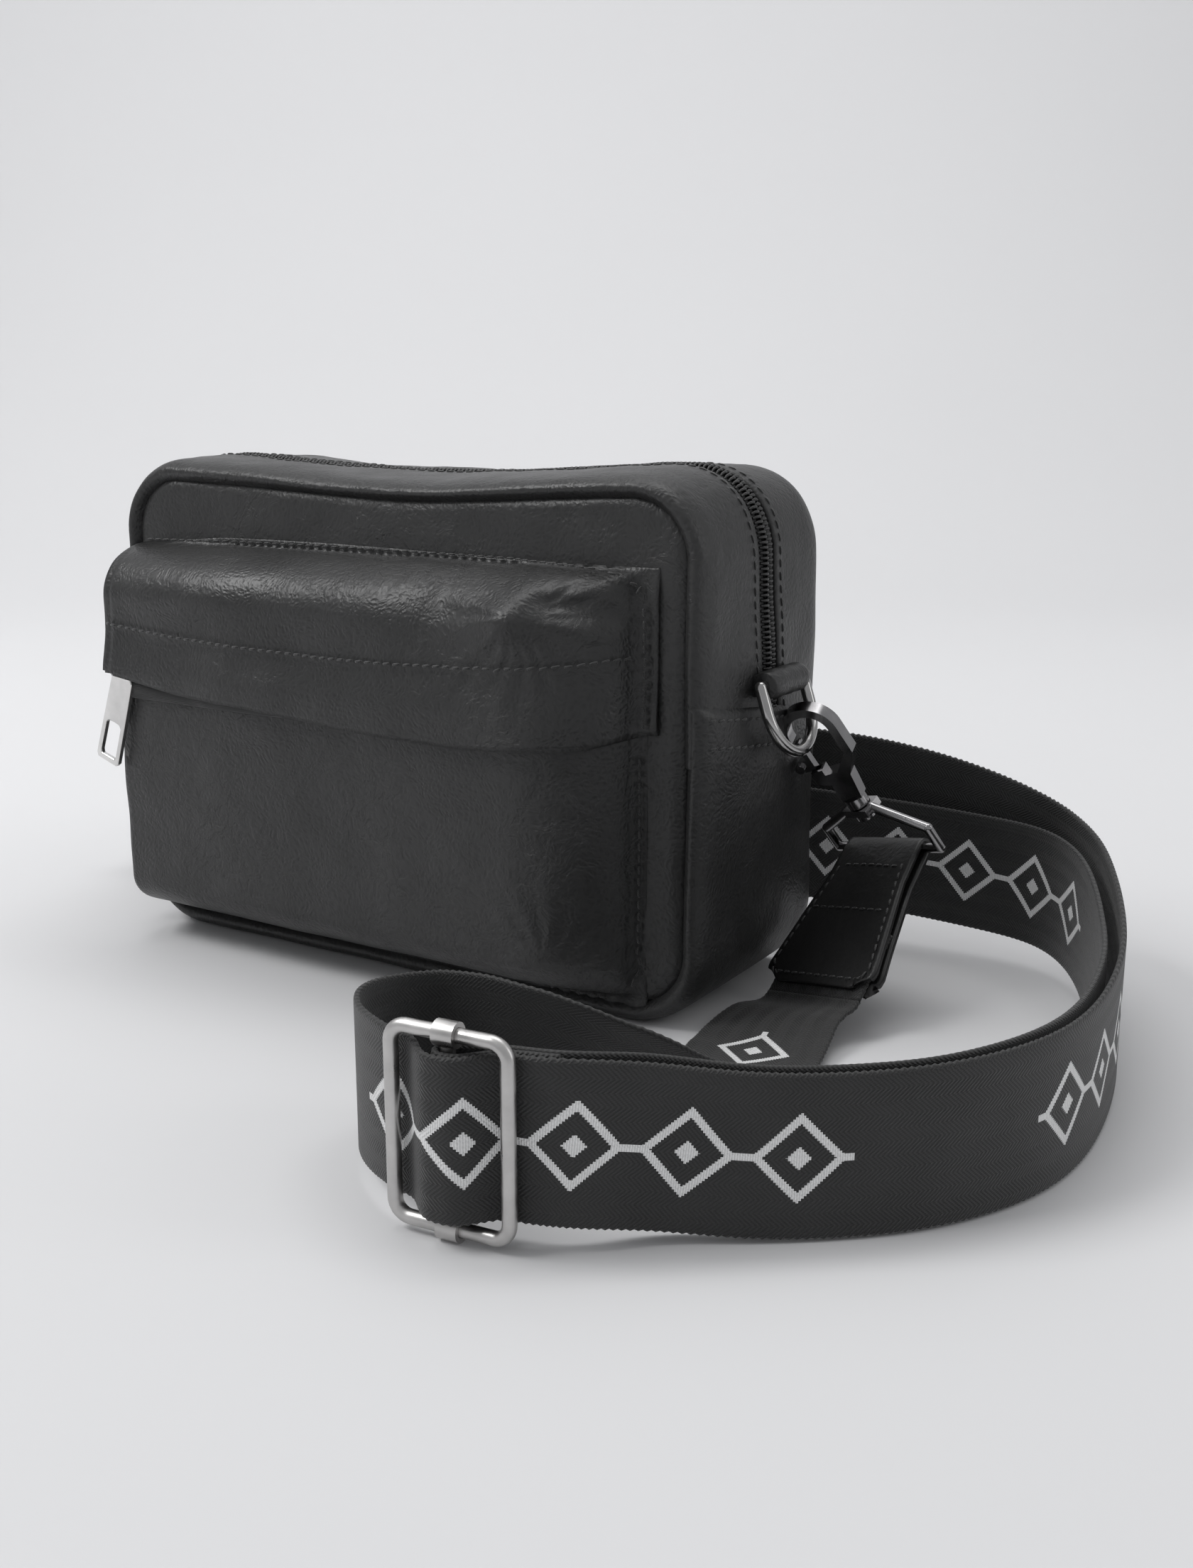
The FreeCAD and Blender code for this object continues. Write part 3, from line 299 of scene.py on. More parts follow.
BODY = leather("leather_body")
POCKET = leather("leather_pocket", 0.012, 0.027, 0.39, 1.15, 1.3)
SMOOTH = leather("leather_smooth", 0.010, 0.016, 0.36, 0.35, 0.3)
EDGE = leather("leather_edge", 0.008, 0.014, 0.6, 0.5, 0.2)
THREAD = thread("thread_black")
TAPE = woven_tape("zip_tape_weave")
COIL = nylon("zip_coil_nylon")
CHROME = metal("nickel_bright", (0.74, 0.73, 0.72), 0.15)
RING = metal("nickel_ring", (0.45, 0.445, 0.44), 0.14)
DARK = metal("nickel_dark", (0.33, 0.325, 0.33), 0.17)
SATIN = metal("nickel_satin", (0.60, 0.59, 0.58), 0.34, 0.12, 1500.0)
WEB_FACE = webbing_cloth("webbing_face", True)
WEB_BACK = webbing_cloth("webbing_back", False)

# ---------------------------------------------------------------- body of the bag
HALF_W, HEIGHT, RADIUS = 110.0, 158.0, 24.0
STRAIGHT = HEIGHT - 2 * RADIUS
FLAT = 2 * (HALF_W - RADIUS)
ARC = math.pi / 2 * RADIUS
PERIMETER = 2 * (STRAIGHT + FLAT) + 4 * ARC


def outline(s):
    """Point and outward normal of the bag's outline, from the right side's foot, going up."""
    s = s % PERIMETER
    spans = [(STRAIGHT, None), (ARC, (HALF_W - RADIUS, HEIGHT - RADIUS)), (FLAT, None),
             (ARC, (RADIUS - HALF_W, HEIGHT - RADIUS)), (STRAIGHT, None), (ARC, (RADIUS - HALF_W, RADIUS)),
             (FLAT, None), (ARC, (HALF_W - RADIUS, RADIUS))]
    starts = [(HALF_W, RADIUS), None, (HALF_W - RADIUS, HEIGHT), None, (-HALF_W, HEIGHT - RADIUS), None,
              (RADIUS - HALF_W, 0), None]
    for i, (length, centre) in enumerate(spans):
        if s <= length:
            turn = (i // 2) * math.pi / 2
            if centre is None:
                x, z = starts[i]
                return (x - math.sin(turn) * s, z + math.cos(turn) * s, math.cos(turn), math.sin(turn))
            a = turn + s / RADIUS
            return (centre[0] + RADIUS * math.cos(a), centre[1] + RADIUS * math.sin(a),
                    math.cos(a), math.sin(a))
        s -= length
    return outline(0)


def settle(x, z):
    """The empty bag's top has sunk a little in the middle."""
    return z - 3.6 * bump(x, 8, 60) * smooth((z - 92) / 62)


def swell(x, z, nx, nz, y):
    """How far the gusset stands out from the outline: bulging sides, a sagging top and soft dents."""
    across = math.cos(min(abs(y) / 38, 1) * math.pi / 2)
    side = 3.2 * across * smooth((150 - z) / 70) * smooth((z + 10) / 60) * abs(nx) ** 2
    if nx < 0:
        side *= 0.35
    top = max(nz, 0) ** 2
    sag = -0.8 * bump(x, 6, 62) * top - 1.6 * bump(x, -52, 26) * top * smooth((y + 30) / 30)
    crown = 1.7 * across * top
    dents = 0.55 * lumps(x, y, z, 34, 3.1) + 0.28 * lumps(x, y, z, 15, 7.7)
    return side + sag + crown + dents * (1 - smooth(-nz * 2)) + 0.25 * lumps(x, y, z, 8, 1.3) * top


FRONT_PROFILE = [(-8.5, -31.2), (-7.2, -33.8), (-5.9, -36.2), (-4.2, -37.9), (-2.4, -37.7), (-0.9, -35.3),
                 (-0.1, -31.0), (0.0, -25.0), (0.0, -18.0), (0.0, -11.0), (0.0, -7.2), (-0.1, -6.0),
                 (-0.7, -5.4), (-1.7, -5.7), (-1.9, -8.0)]
LOWER_PROFILE = FRONT_PROFILE[:10] + [(0.0, -4.0), (0.0, 4.0)] + [(d, -y) for d, y in FRONT_PROFILE[9::-1]]


def skin(s, d, y, lift=0.0):
    """Point of the gusset's leather: s round the outline, d out of it, y across the bag."""
    x, z, nx, nz = outline(s)
    out = d + lift + swell(x, z, nx, nz, y) * smooth((d + 7.5) / 6)
    squash = 0.6 * lumps(x, 0, z, 30, 5.5)
    px, pz = x + nx * out, z + nz * out
    return px, y + (squash if y < -28 else -squash if y > 28 else 0), settle(px, pz)


def seam_height(y):
    return 90.5 - 4.5 * y / 38


def left_s(z):
    """Length along the outline at height z on the left side."""
    return STRAIGHT + ARC + FLAT + ARC + (HEIGHT - RADIUS - z)


def zip_gusset(name, sign, node):
    profile = catmull(FRONT_PROFILE, 3)
    start, stop = 78 - RADIUS, left_s(78)
    rows = int((stop - start) / 2.0)
    verts = []
    for i in range(rows + 1):
        s = start + (stop - start) * i / rows
        verts += [skin(s, d, y if sign < 0 else -y, -0.5) for d, y in profile]
    obj = new_piece(name, verts, grid_faces(rows + 1, len(profile), flip=sign < 0), BODY)
    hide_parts(node)
    return obj


zip_gusset("gusset_top_front", -1, "zip_gusset_front")
zip_gusset("gusset_top_back", 1, "zip_gusset_back")

low_profile = catmull(LOWER_PROFILE, 3)
low_rows = 260
low_verts = []
for i in range(low_rows + 1):
    share = i / low_rows
    for d, y in low_profile:
        right_end, left_end = seam_height(y) - RADIUS, left_s(seam_height(y)) - PERIMETER
        s = right_end + (left_end - right_end) * share
        from_end = min(s - left_end, right_end - s)
        fold = 0.75 * smooth((40 - from_end) / 40) - 1.3 * (1 - smooth(from_end / 1.1))
        low_verts.append(skin(s, d, y, fold))
lower = new_piece("gusset_lower", low_verts, grid_faces(low_rows + 1, len(low_profile)), BODY)
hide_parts("lower_gusset")


def panel_point(s, k, sign):
    """Front or back panel: k runs from its middle to the groove."""
    x, z, nx, nz = outline(s)
    inset = 5.6
    ex, ez = x - nx * inset, z - nz * inset
    cx, cz = 0.0, HEIGHT / 2
    px, pz = cx + (ex - cx) * k, cz + (ez - cz) * k
    edge = math.hypot(ex - px, ez - pz)
    roll = 3.4 * (1 - math.sqrt(max(0.0, 1 - (1 - min(edge / 5.0, 1)) ** 2)))
    dome = 2.6 * (1 - k ** 2)
    soft = 1.0 * lumps(px, sign, pz, 42, 9.1) + 0.45 * lumps(px, sign, pz, 16, 2.2)
    crease = 0.5 * math.sin(px * 0.11 + 2.5 * lumps(px, 0, pz, 30, 12.0)) * bump(pz, 143, 9)
    return px, sign * (36.6 - roll + dome + (soft + crease) * smooth(edge / 14)), settle(px, pz)


def panel(name, sign, node):
    rings, around = 46, 240
    verts = [(0, panel_point(0, 0, sign)[1], HEIGHT / 2)]
    for i in range(1, rings + 1):
        k = 1 - (1 - i / rings) ** 1.5
        verts += [panel_point(PERIMETER * j / around, k, sign) for j in range(around)]
    faces = [(0, 1 + (j + 1) % around, 1 + j) for j in range(around)]
    faces += grid_faces(rings, around, close_cols=True, start=1)
    if sign < 0:
        faces = [face[::-1] for face in faces]
    obj = new_piece(name, verts, faces, BODY)
    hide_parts(node)


panel("panel_front", -1, "front_panel")
panel("panel_back", 1, "back_panel")


# ---------------------------------------------------------------- stitches
def stitch_rows(name, rows, body="bag", length=2.7, pitch=3.7, width=0.42,
                height=0.34, mat=None, lean=0.12):
    """Lock stitches: small round-ended bars along each row of (point, normal)."""
    verts, faces = [], []
    rings = [(-1.0, 0.15), (-0.86, 0.72), (-0.5, 1.0), (0.5, 1.0), (0.86, 0.72), (1.0, 0.15)]
    sides = 7
    for row in rows:
        points = [Vector(p) for p, normal in row]
        spots = [0.0]
        for a, b in zip(points, points[1:]):
            spots.append(spots[-1] + (b - a).length)
        count = max(1, int(spots[-1] / pitch))
        for i in range(count):
            mark = (i + 0.5) * spots[-1] / count
            k = min(int(np.searchsorted(spots, mark)), len(points) - 1)
            k = max(k, 1)
            share = (mark - spots[k - 1]) / max(spots[k] - spots[k - 1], 1e-6)
            middle = points[k - 1].lerp(points[k], share)
            normal = Vector(row[k - 1][1]).lerp(Vector(row[k][1]), share).normalized()
            along = (points[k] - points[k - 1]).normalized()
            side = normal.cross(along).normalized()
            along = (along + side * lean).normalized()
            side = normal.cross(along)
            first = len(verts)
            for t, r in rings:
                dip = height * (1 - 0.75 * t * t)
                for j in range(sides):
                    a = 2 * math.pi * j / sides
                    p = (middle + along * (t * length / 2) + side * (math.cos(a) * width * r)
                         + normal * (dip - 0.12 + math.sin(a) * width * 0.7 * r))
                    verts.append(tuple(p))
            faces += grid_faces(len(rings), sides, close_cols=True, start=first)
            faces.append(tuple(first + j for j in range(sides)))
            faces.append(tuple(first + (len(rings) - 1) * sides + j for j in reversed(range(sides))))
    return new_piece(name, verts, faces, mat or THREAD, body)


def gusset_row(start, stop, y, lift, step=3.0):
    count = int(abs(stop - start) / step)
    row = []
    for i in range(count + 1):
        s = start + (stop - start) * i / count
        nx, nz = outline(s)[2:]
        row.append((skin(s, 0, y, lift), (nx, 0, nz)))
    return row


top_start, top_stop = 94 - RADIUS, left_s(94)
rows = [gusset_row(top_start - (1.5 if y < 0 else 6), top_stop, y, -0.5) for y in (-8.3, 8.3)]
for drop in (3.2, 11.0):
    for to_s, base in ((lambda z: z - RADIUS, 1), (lambda z: left_s(z) - PERIMETER, -1)):
        row = []
        for i in range(33):
            y = -35.5 + 71 * i / 32
            s = to_s(seam_height(y) - drop)
            x, z, nx, nz = outline(s)
            d = -0.9 * smooth((abs(y) - 30) / 6)
            row.append((skin(s, d, y, 0.7), (nx, 0, nz)))
        rows.append(row)
stitch_rows("stitches_gusset", rows)


# ---------------------------------------------------------------- main zip
def zip_path(s, out, y):
    x, z, nx, nz = outline(s)
    rise = out + swell(x, z, nx, nz, y)
    px, pz = x + nx * rise, z + nz * rise
    return Vector((px, y, settle(px, pz))), Vector((nx, 0, nz))


def tape(name, sign, node):
    start, stop = 82 - RADIUS, left_s(82)
    rows = int((stop - start) / 4)
    section = [(-2.0, 11.0), (-1.9, 7.0), (-1.7, 4.5), (-1.6, 1.2), (-2.4, 1.0), (-2.6, 6.0), (-2.7, 11.0)]
    verts = []
    for i in range(rows + 1):
        s = start + (stop - start) * i / rows
        verts += [tuple(zip_path(s, d, sign * y)[0]) for d, y in section]
    obj = new_piece(name, verts, grid_faces(rows + 1, len(section), close_cols=True), TAPE)
    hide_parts(node)


def coil(name, sign, node):
    """Nylon coil: one rounded loop after another along the chain."""
    start, stop = 88 - RADIUS, left_s(88)
    pitch = 1.5
    count = int((stop - start) / pitch)
    shape = [(0.25, -0.15, 0.62), (0.9, 0.55, 0.56), (2.0, 0.72, 0.46), (3.1, 0.35, 0.44), (3.6, -0.55, 0.4)]
    sides = 6
    verts, faces = [], []
    for i in range(count):
        s = start + (i + (0.5 if sign > 0 else 0)) * pitch
        nx, nz = outline(s)[2:]
        normal, along = Vector((nx, 0, nz)), Vector((-nz, 0, nx))
        first = len(verts)
        for y, rise, r in shape:
            centre = zip_path(s, rise - 1.1, sign * (y - 0.35))[0]
            for j in range(sides):
                a = 2 * math.pi * j / sides
                verts.append(tuple(centre + along * (math.cos(a) * r) + normal * (math.sin(a) * r)))
        faces += grid_faces(len(shape), sides, close_cols=True, start=first, flip=sign < 0)
        faces.append(tuple(first + j for j in range(sides)))
        faces.append(tuple(first + (len(shape) - 1) * sides + j for j in range(sides)))
    obj = new_piece(name, verts, faces, COIL)
    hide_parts(node)


for label, sign in (("front", -1), ("back", 1)):
    tape("zip_tape_" + label, sign, "main_zip_tape_" + label)
    coil("zip_coil_" + label, sign, "main_zip_coil_" + label)

# ---------------------------------------------------------------- pocket and its flap
LEFT_X, RIGHT_X = -97.0, 92.5


def rise(t):
    """Quarter-round rise from 0 to 1."""
    t = min(max(t, 0.0), 1.0)
    return math.sqrt(1 - (1 - t) ** 2)


def panel_face(x, z):
    """y of the front panel under the pocket."""
    k = max(abs(x) / 103, abs(z - 79) / 72)
    return -(36.6 + 2.6 * (1 - min(k, 1) ** 2)) - 0.2


def pocket_depth(x, z):
    """How far the filled pocket stands out of the front panel."""
    left = rise((x - LEFT_X + 1.2) / 4.2)
    right = rise((RIGHT_X - 3.0 - x) / 31)
    foot = rise((z - 9.0) / 13)
    head = rise((131.0 - z) / 17)
    fill = 20.2 * left * (right ** 1.15) * foot * head
    dart = 4.2 * bump(x, 62, 8) * bump(z, 119 + 0.1 * (x - 62), 6.5)
    dart -= 3.4 * bump(z, 123.5 - 0.12 * (x - 66), 3.2) * smooth((x - 64) / 8)
    dart -= 2.4 * bump(x, 38, 11) * bump(z, 121, 12) - 1.5 * bump(x, -60, 22) * bump(z, 120, 9)
    low_dart = 1.6 * bump(x, 70, 8) * bump(z, 22, 7)
    slack = 0.9 * lumps(x, 0, z, 36, 4.4) + 0.45 * lumps(x, 0, z, 15, 8.3)
    pull_in = -1.6 * bump(z, 62 + 0.06 * x, 26) * smooth((60 - abs(x)) / 60)
    return max(fill + (dart + low_dart + slack + pull_in) * smooth(fill / 10), 0.0)


def wrinkles(x, z):
    """Fine creases that fan out from the darts."""
    total = 0.0
    for cx, cz, reach in ((66, 120, 34), (72, 18, 30)):
        dist = math.hypot(x - cx, z - cz)
        angle = math.atan2(z - cz, x - cx)
        total += (0.34 * math.sin(angle * 17 + 2.2 * lumps(x, 0, z, 12, cx))
                  * bump(dist, 10, reach * 0.5) * smooth(dist / 8))
    return total


def flap_low(x):
    """Height of the flap's free lower edge."""
    return float(np.interp(x, [-97, -64, -34, 8, 47, 82, 94], [89.7, 85.7, 84.4, 81.8, 81.0, 83.0, 86.0]))


def leather_sheet(name, columns, lines, point, mat, thick, node=None):
    verts = [point(u / (columns - 1), v / (lines - 1)) for v in range(lines) for u in range(columns)]
    obj = new_piece(name, verts, grid_faces(lines, columns, flip=True), mat)
    thicken(obj, thick, 1)
    if node:
        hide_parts(node)
    return obj


def pocket_x(u):
    return LEFT_X + (RIGHT_X - LEFT_X) * u


def pocket_point(u, v):
    """Front of the pocket; its foot and right edge are sewn flat to the panel."""
    x = pocket_x(u)
    z = 6.5 + 96.0 * v
    slope = 3.5 * smooth((x + 95) / 190)
    z -= slope * (1 - v) * 0.6
    y = panel_face(x, z) - pocket_depth(x, z) - wrinkles(x, z)
    return x, y, z


leather_sheet("pocket_leather", 150, 84, pocket_point, POCKET, 1.5, "pocket_body")


def pocket_side(u, v):
    """Left wall of the pocket, back to the panel."""
    z = 8 + 94 * v
    front = panel_face(LEFT_X, z) - pocket_depth(LEFT_X, z)
    return LEFT_X + 0.4, front + (panel_face(-98, z) + 1.0 - front) * u, z


leather_sheet("pocket_side_left", 10, 40, pocket_side, POCKET, 1.2)

FLAP_TOP = 133.0


def flap_surface(x, z):
    cover = 2.4 + 1.7 * smooth((104 - z) / 14)
    base = pocket_depth(min(max(x, LEFT_X + 1.5), RIGHT_X), max(z, 96 + 4 * smooth((100 - z) / 16)))
    ends = smooth((RIGHT_X - x) / 10)
    over = smooth((FLAP_TOP - z) / 8)
    hang = 0.9 * lumps(x, 3, z, 40, 6.6)
    return (panel_face(x, z) - max(base, 0) - cover * over * (0.45 + 0.55 * ends)
            - hang * over * ends - wrinkles(x, z))


def flap_point(u, v):
    x = -99.0 + (96.0 + 99.0) * u
    low = flap_low(x)
    z = low + (FLAP_TOP - low) * v
    z -= 2.0 * smooth((-x - 60) / 36) * smooth(v * 2) - 0.8 * math.sin(u * 5) * v
    y = flap_surface(x, z)
    if v < 0.02:
        y += 0.9
        z += 0.3
    return x, y, z


leather_sheet("flap_leather", 170, 70, flap_point, POCKET, 1.5, "pocket_flap")


def front_row(points, surface, lift):
    """Stitch row over a front surface, from (x, z) points."""
    row = []
    smooth_points = catmull(points, 10)
    for x, z in smooth_points:
        y = surface(x, z)
        nx = (surface(x + 0.8, z) - surface(x - 0.8, z)) / 1.6
        nz = (surface(x, z + 0.8) - surface(x, z - 0.8)) / 1.6
        normal = Vector((nx, -1.0, nz)).normalized()
        row.append(((x + normal.x * lift, y + normal.y * lift, z + normal.z * lift), tuple(normal)))
    return row


def pocket_surface(x, z):
    return panel_face(x, z) - pocket_depth(x, z) - wrinkles(x, z)


flap_rows = [
    front_row([(-94, 130.6), (-60, 131), (-20, 131.2), (20, 131.2), (60, 130.8), (84, 129.5), (92, 125)],
              flap_surface, 1.6),
    front_row([(-96.5, 106.5), (-64, 104.8), (-34, 103.6), (0, 103.2), (40, 104), (70, 106), (89, 108)],
              flap_surface, 1.6),
    front_row([(92.6, 122), (92.9, 108), (93.0, 96), (92.8, 88)], flap_surface, 1.6),
]
pocket_rows = [
    front_row([(90.9, 80), (91.0, 60), (90.9, 40), (90.6, 24), (88.5, 13)], pocket_surface, 1.5),
    front_row([(-90, 9.0), (-50, 8.4), (0, 7.6), (40, 7.2), (80, 7.0)], pocket_surface, 1.5),
]
stitch_rows("stitches_pocket", flap_rows + pocket_rows, length=2.5, pitch=3.4)


# ---------------------------------------------------------------- carried-over CAD nodes
def dress(node, mat, bevel=0.0, angle=35.0):
    obj = NODES[node]
    obj.data.materials.clear()
    obj.data.materials.append(mat)
    obj.data.polygons.foreach_set("use_smooth", [True] * len(obj.data.polygons))
    if bevel:
        mod = obj.modifiers.new("bevel", "BEVEL")
        mod.width = bevel * MM
        mod.segments = 3
        mod.limit_method = "ANGLE"
        mod.angle_limit = math.radians(angle)
        mod.harden_normals = False
    split = obj.modifiers.new("split", "EDGE_SPLIT")
    split.split_angle = math.radians(angle)


for name in ("d_ring_right", "d_ring_left"):
    dress(name, RING)
for label in ("right", "left"):
    for part in ("hook_body_", "gate_pin_", "hook_gate_", "hook_rivet_"):
        dress(part + label, DARK, 0.45 if part != "gate_pin_" else 0.0)
    dress("yoke_" + label, DARK)
for name in ("glide_frame", "glide_bar"):
    dress(name, SATIN)
for name in ("main_zip_slider", "main_zip_pull", "pocket_zip_slider", "main_zip_end_stops"):
    dress(name, CHROME, 0.25)
dress("lining", TAPE)
dress("base_board", EDGE)


def pocket_band(name, low, high, lift, mat, node):
    """Strip of the pocket's zip lying on the pocket's leather under the flap."""
    verts = []
    for i in range(61):
        x = -90 + 168 * i / 60
        for z in (low, (low + high) / 2, high):
            crown = lift if z not in (low, high) else lift * 0.8
            verts.append((x, pocket_surface(x, z) - crown, z))
    obj = new_piece(name, verts, grid_faces(61, 3), mat)
    thicken(obj, 0.5, 0)
    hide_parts(node)


pocket_band("pocket_tape_low", 83.0, 89.6, 1.9, TAPE, "pocket_zip_tape_lower")
pocket_band("pocket_tape_high", 92.4, 99.0, 1.9, TAPE, "pocket_zip_tape_upper")
pocket_band("pocket_coil", 89.4, 92.6, 2.3, COIL, "pocket_zip_coil")


# ---------------------------------------------------------------- pull of the pocket's zip
def bar_frame(name, outer, inner, thick, mat, body, place, bevel=0.35):
    """Plate with a window, both as outlines in the plate's own XZ plane, bevelled."""
    count = len(outer)
    verts = []
    for y in (-thick / 2, thick / 2):
        verts += [(x, y, z) for x, z in outer]
        verts += [(x, y, z) for x, z in inner]
    faces = []
    for i in range(count):
        j = (i + 1) % count
        o0, o1, n0, n1 = i, j, count + i, count + j
        back = 2 * count
        faces += [(o0, o1, n1, n0), (back + o1, back + o0, back + n0, back + n1),
                  (o1, o0, back + o0, back + o1), (n0, n1, back + n1, back + n0)]
    verts = [tuple(place @ Vector(v)) for v in verts]
    obj = new_piece(name, verts, faces, mat, body, flat=True)
    mod = obj.modifiers.new("bevel", "BEVEL")
    mod.width = bevel * MM
    mod.segments = 3
    mod.limit_method = "ANGLE"
    mod.angle_limit = math.radians(40)
    return obj


pivot = Vector((-88.0, -59.7, 94.0))
hang = Matrix.Translation(pivot) @ Matrix.Rotation(math.radians(19), 4, "Y")
outer = [(-1.9, 1.6), (1.9, 1.6), (2.6, -3), (4.6, -5.5), (4.9, -20), (5.1, -34), (4.3, -35.2), (0, -35.2),
         (-4.3, -35.2), (-5.1, -34), (-4.9, -20), (-4.6, -5.5), (-2.6, -3)]
inner = [(-1.0, -21.0), (1.0, -21.0), (2.6, -21.2), (3.3, -22), (3.35, -27), (3.4, -32.2), (2.9, -33.2),
         (0, -33.2), (-2.9, -33.2), (-3.4, -32.2), (-3.35, -27), (-3.3, -22), (-2.6, -21.2)]
pull = bar_frame("pocket_pull_tab", outer, inner, 1.7, CHROME, "pocket_pull", hang)
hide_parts("pocket_zip_pull")


# ---------------------------------------------------------------- leather loops of the rings
def ring_loop(name, sign, node):
    """Leather folded round the ring's bar and sewn in under the gusset's seam."""
    centre_x = sign * 115.2
    half = 11.5
    section = []
    for k in range(25):
        a = math.radians(-118 + 236 * k / 24)
        section.append((centre_x + sign * 4.15 * math.cos(a), 98 + 4.15 * math.sin(a)))
    tail = [(sign * 109.0, 97.0 + 3.0), (sign * 109.0, 97.0 - 3.0)]
    ring = section + tail
    verts, steps = [], 24
    for i in range(steps + 1):
        t = -1 + 2 * i / steps
        y = t * half
        shrink = 1 - 0.16 * abs(t) ** 10
        pucker = 0.12 * lumps(y, 0, 1, 3.1, 5)
        for x, z in ring:
            gather = shrink + 0.03 * math.sin(y * 0.9)
            verts.append((centre_x + (x - centre_x) * shrink, y + pucker, 98 + (z - 98) * gather))
    faces = grid_faces(steps + 1, len(ring), close_cols=True, flip=sign > 0)
    faces.append(tuple(range(len(ring))))
    faces.append(tuple(steps * len(ring) + j for j in reversed(range(len(ring)))))
    obj = new_piece(name, verts, faces, BODY)
    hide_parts(node)


ring_loop("loop_leather_right", 1, "d_loop_right")
ring_loop("loop_leather_left", -1, "d_loop_left")


# ---------------------------------------------------------------- strap's leather tab
def unit(v):
    return v / np.linalg.norm(v)


def vec(*c):
    return np.array(c, float)


TILT, SEAT = math.radians(18), math.radians(45)
BOW_DROP = 7 + 13.75 * math.cos(SEAT)
SPOT = vec(115.2 + BOW_DROP * math.sin(TILT), 13.75 * math.sin(SEAT), 98 - BOW_DROP * math.cos(TILT))
HOOK_UP = unit(SPOT - vec(137, 31.5, 44.7))
BAR = SPOT - HOOK_UP * 46.7
BAR_DIR = vec(0.92, -0.345, 0.19)
BAR_DIR = unit(BAR_DIR - HOOK_UP * HOOK_UP.dot(BAR_DIR))
TAB_DOWN = vec(131, -3, 10.3) - BAR
TAB_DOWN = unit(TAB_DOWN - BAR_DIR * TAB_DOWN.dot(BAR_DIR))
TAB_OUT = np.cross(TAB_DOWN, BAR_DIR)


def tab_place(x, out, down):
    return tuple(BAR + BAR_DIR * x + TAB_OUT * out + TAB_DOWN * down)


def tab_width(down):
    return float(np.interp(down, [-4, 3, 14, 45, 48.5, 50.6], [14.6, 15.0, 15.6, 22.0, 21.2, 18.6]))


def tab_piece():
    """Leather folded over the yoke's bar: front leaf, fold and back leaf in one strip."""
    loop = [(2.9, 50.6), (3.0, 48), (2.8, 40), (2.9, 28), (3.0, 14), (3.1, 5), (3.0, 0.5), (2.2, -2.0),
            (0.0, -3.0), (-2.2, -2.0), (-3.0, 0.5), (-3.0, 5), (-2.8, 14), (-2.5, 28), (-2.4, 40), (-2.4, 48),
            (-2.4, 50.6)]
    path = catmull(loop, 4)
    across = 30
    verts = []
    for out, down in path:
        half = tab_width(down)
        for j in range(across + 1):
            t = -1 + 2 * j / across
            ease = 0.5 * smooth((abs(t) - 0.9) / 0.1)
            lift = out * (1 - 0.10 * ease) + 0.25 * lumps(t * 20, down, out, 14, 3.3)
            curl = 1.1 * smooth((down - 40) / 12) * abs(t) ** 2 * (1 if out > 0 else 0.6)
            corner = 2.6 * smooth((abs(t) - 0.82) / 0.18) * smooth((down - 46) / 5)
            verts.append(tab_place(t * half, lift - curl * 0.4, down - corner))
    obj = new_piece("tab_leaf", verts, grid_faces(len(path), across + 1), SMOOTH, "strap_tab")
    thicken(obj, 1.7, -1)
    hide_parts("tab_leather")
    rows = []
    outline_points = [(-12.6, 9), (-13.4, 14), (-19.6, 44), (-18.2, 47.6), (-14, 47.9), (14, 47.9),
                      (18.2, 47.6), (19.6, 44), (13.4, 14), (12.6, 9), (0, 8.6), (-12.6, 9)]
    for side in (1, -1):
        for line in (outline_points, [(-15.6, 24.5), (0, 24.4), (15.6, 24.5)]):
            row = []
            for a, b in zip(line, line[1:]):
                for k in range(8):
                    x = a[0] + (b[0] - a[0]) * k / 8
                    down = a[1] + (b[1] - a[1]) * k / 8
                    lift_off = 3.05 if side > 0 else -2.75
                    row.append((tab_place(x, lift_off, down), tuple(TAB_OUT * side)))
            rows.append(row)
    stitch_rows("stitches_tab", rows, "strap_tab", 2.3, 3.1, 0.36, 0.3)


tab_piece()

# ---------------------------------------------------------------- webbing
HALF_WEB = 19.0
GLIDE_TURN = math.radians(5)


def standing(points):
    return [(vec(x, y, z + HALF_WEB), vec(0, 0, 1)) for x, y, z in points]


def by_glide(points):
    c, s = math.cos(GLIDE_TURN), math.sin(GLIDE_TURN)
    return [(vec(119 + a * c - b * s, -165 + a * s + b * c, 25.2), vec(0, 0, 1)) for a, b in points]


WRAP = 1.7 + 0.8 + 0.35
OUTER_WRAP = WRAP + 1.6 + 0.4
stations = by_glide([(22.5, 7.5), (17.5, 6.3), (12.5, 5.0), (7, 1.2), (3, -2.4)])
stations += by_glide([(WRAP * math.sin(math.radians(d)), -WRAP * math.cos(math.radians(d)))
                      for d in (0, -45, -90, -135, -180)])
stations += by_glide([(6, 5.4), (12.5, 7.4), (20, 8.9)])
stations += standing([
    (153, -141.5, 4), (171, -130, 1.6), (189, -116, 0.6), (201.5, -104, 0.6), (211, -89, 0.6),
    (217, -73, 0.6), (219.4, -56, 0.6), (218.6, -38, 0.8), (215, -15, 2), (207.5, 9, 4),
    (198, 33, 6.5), (187.5, 52, 8.5), (173, 66, 9.6), (153, 71.5, 10), (128, 71.5, 11),
    (100, 69, 12), (60, 67, 13), (10, 67, 15), (-45, 71, 17), (-93, 80, 18)])
half_turn = vec(-1, -1, 1)
left_spot = vec(115.2 + 20.75 * math.sin(TILT), 0, 98 - 20.75 * math.cos(TILT))
left_up = unit(left_spot - vec(136.4, -5.7, 34.3))
left_mid = (left_spot - left_up * 46.7) * half_turn
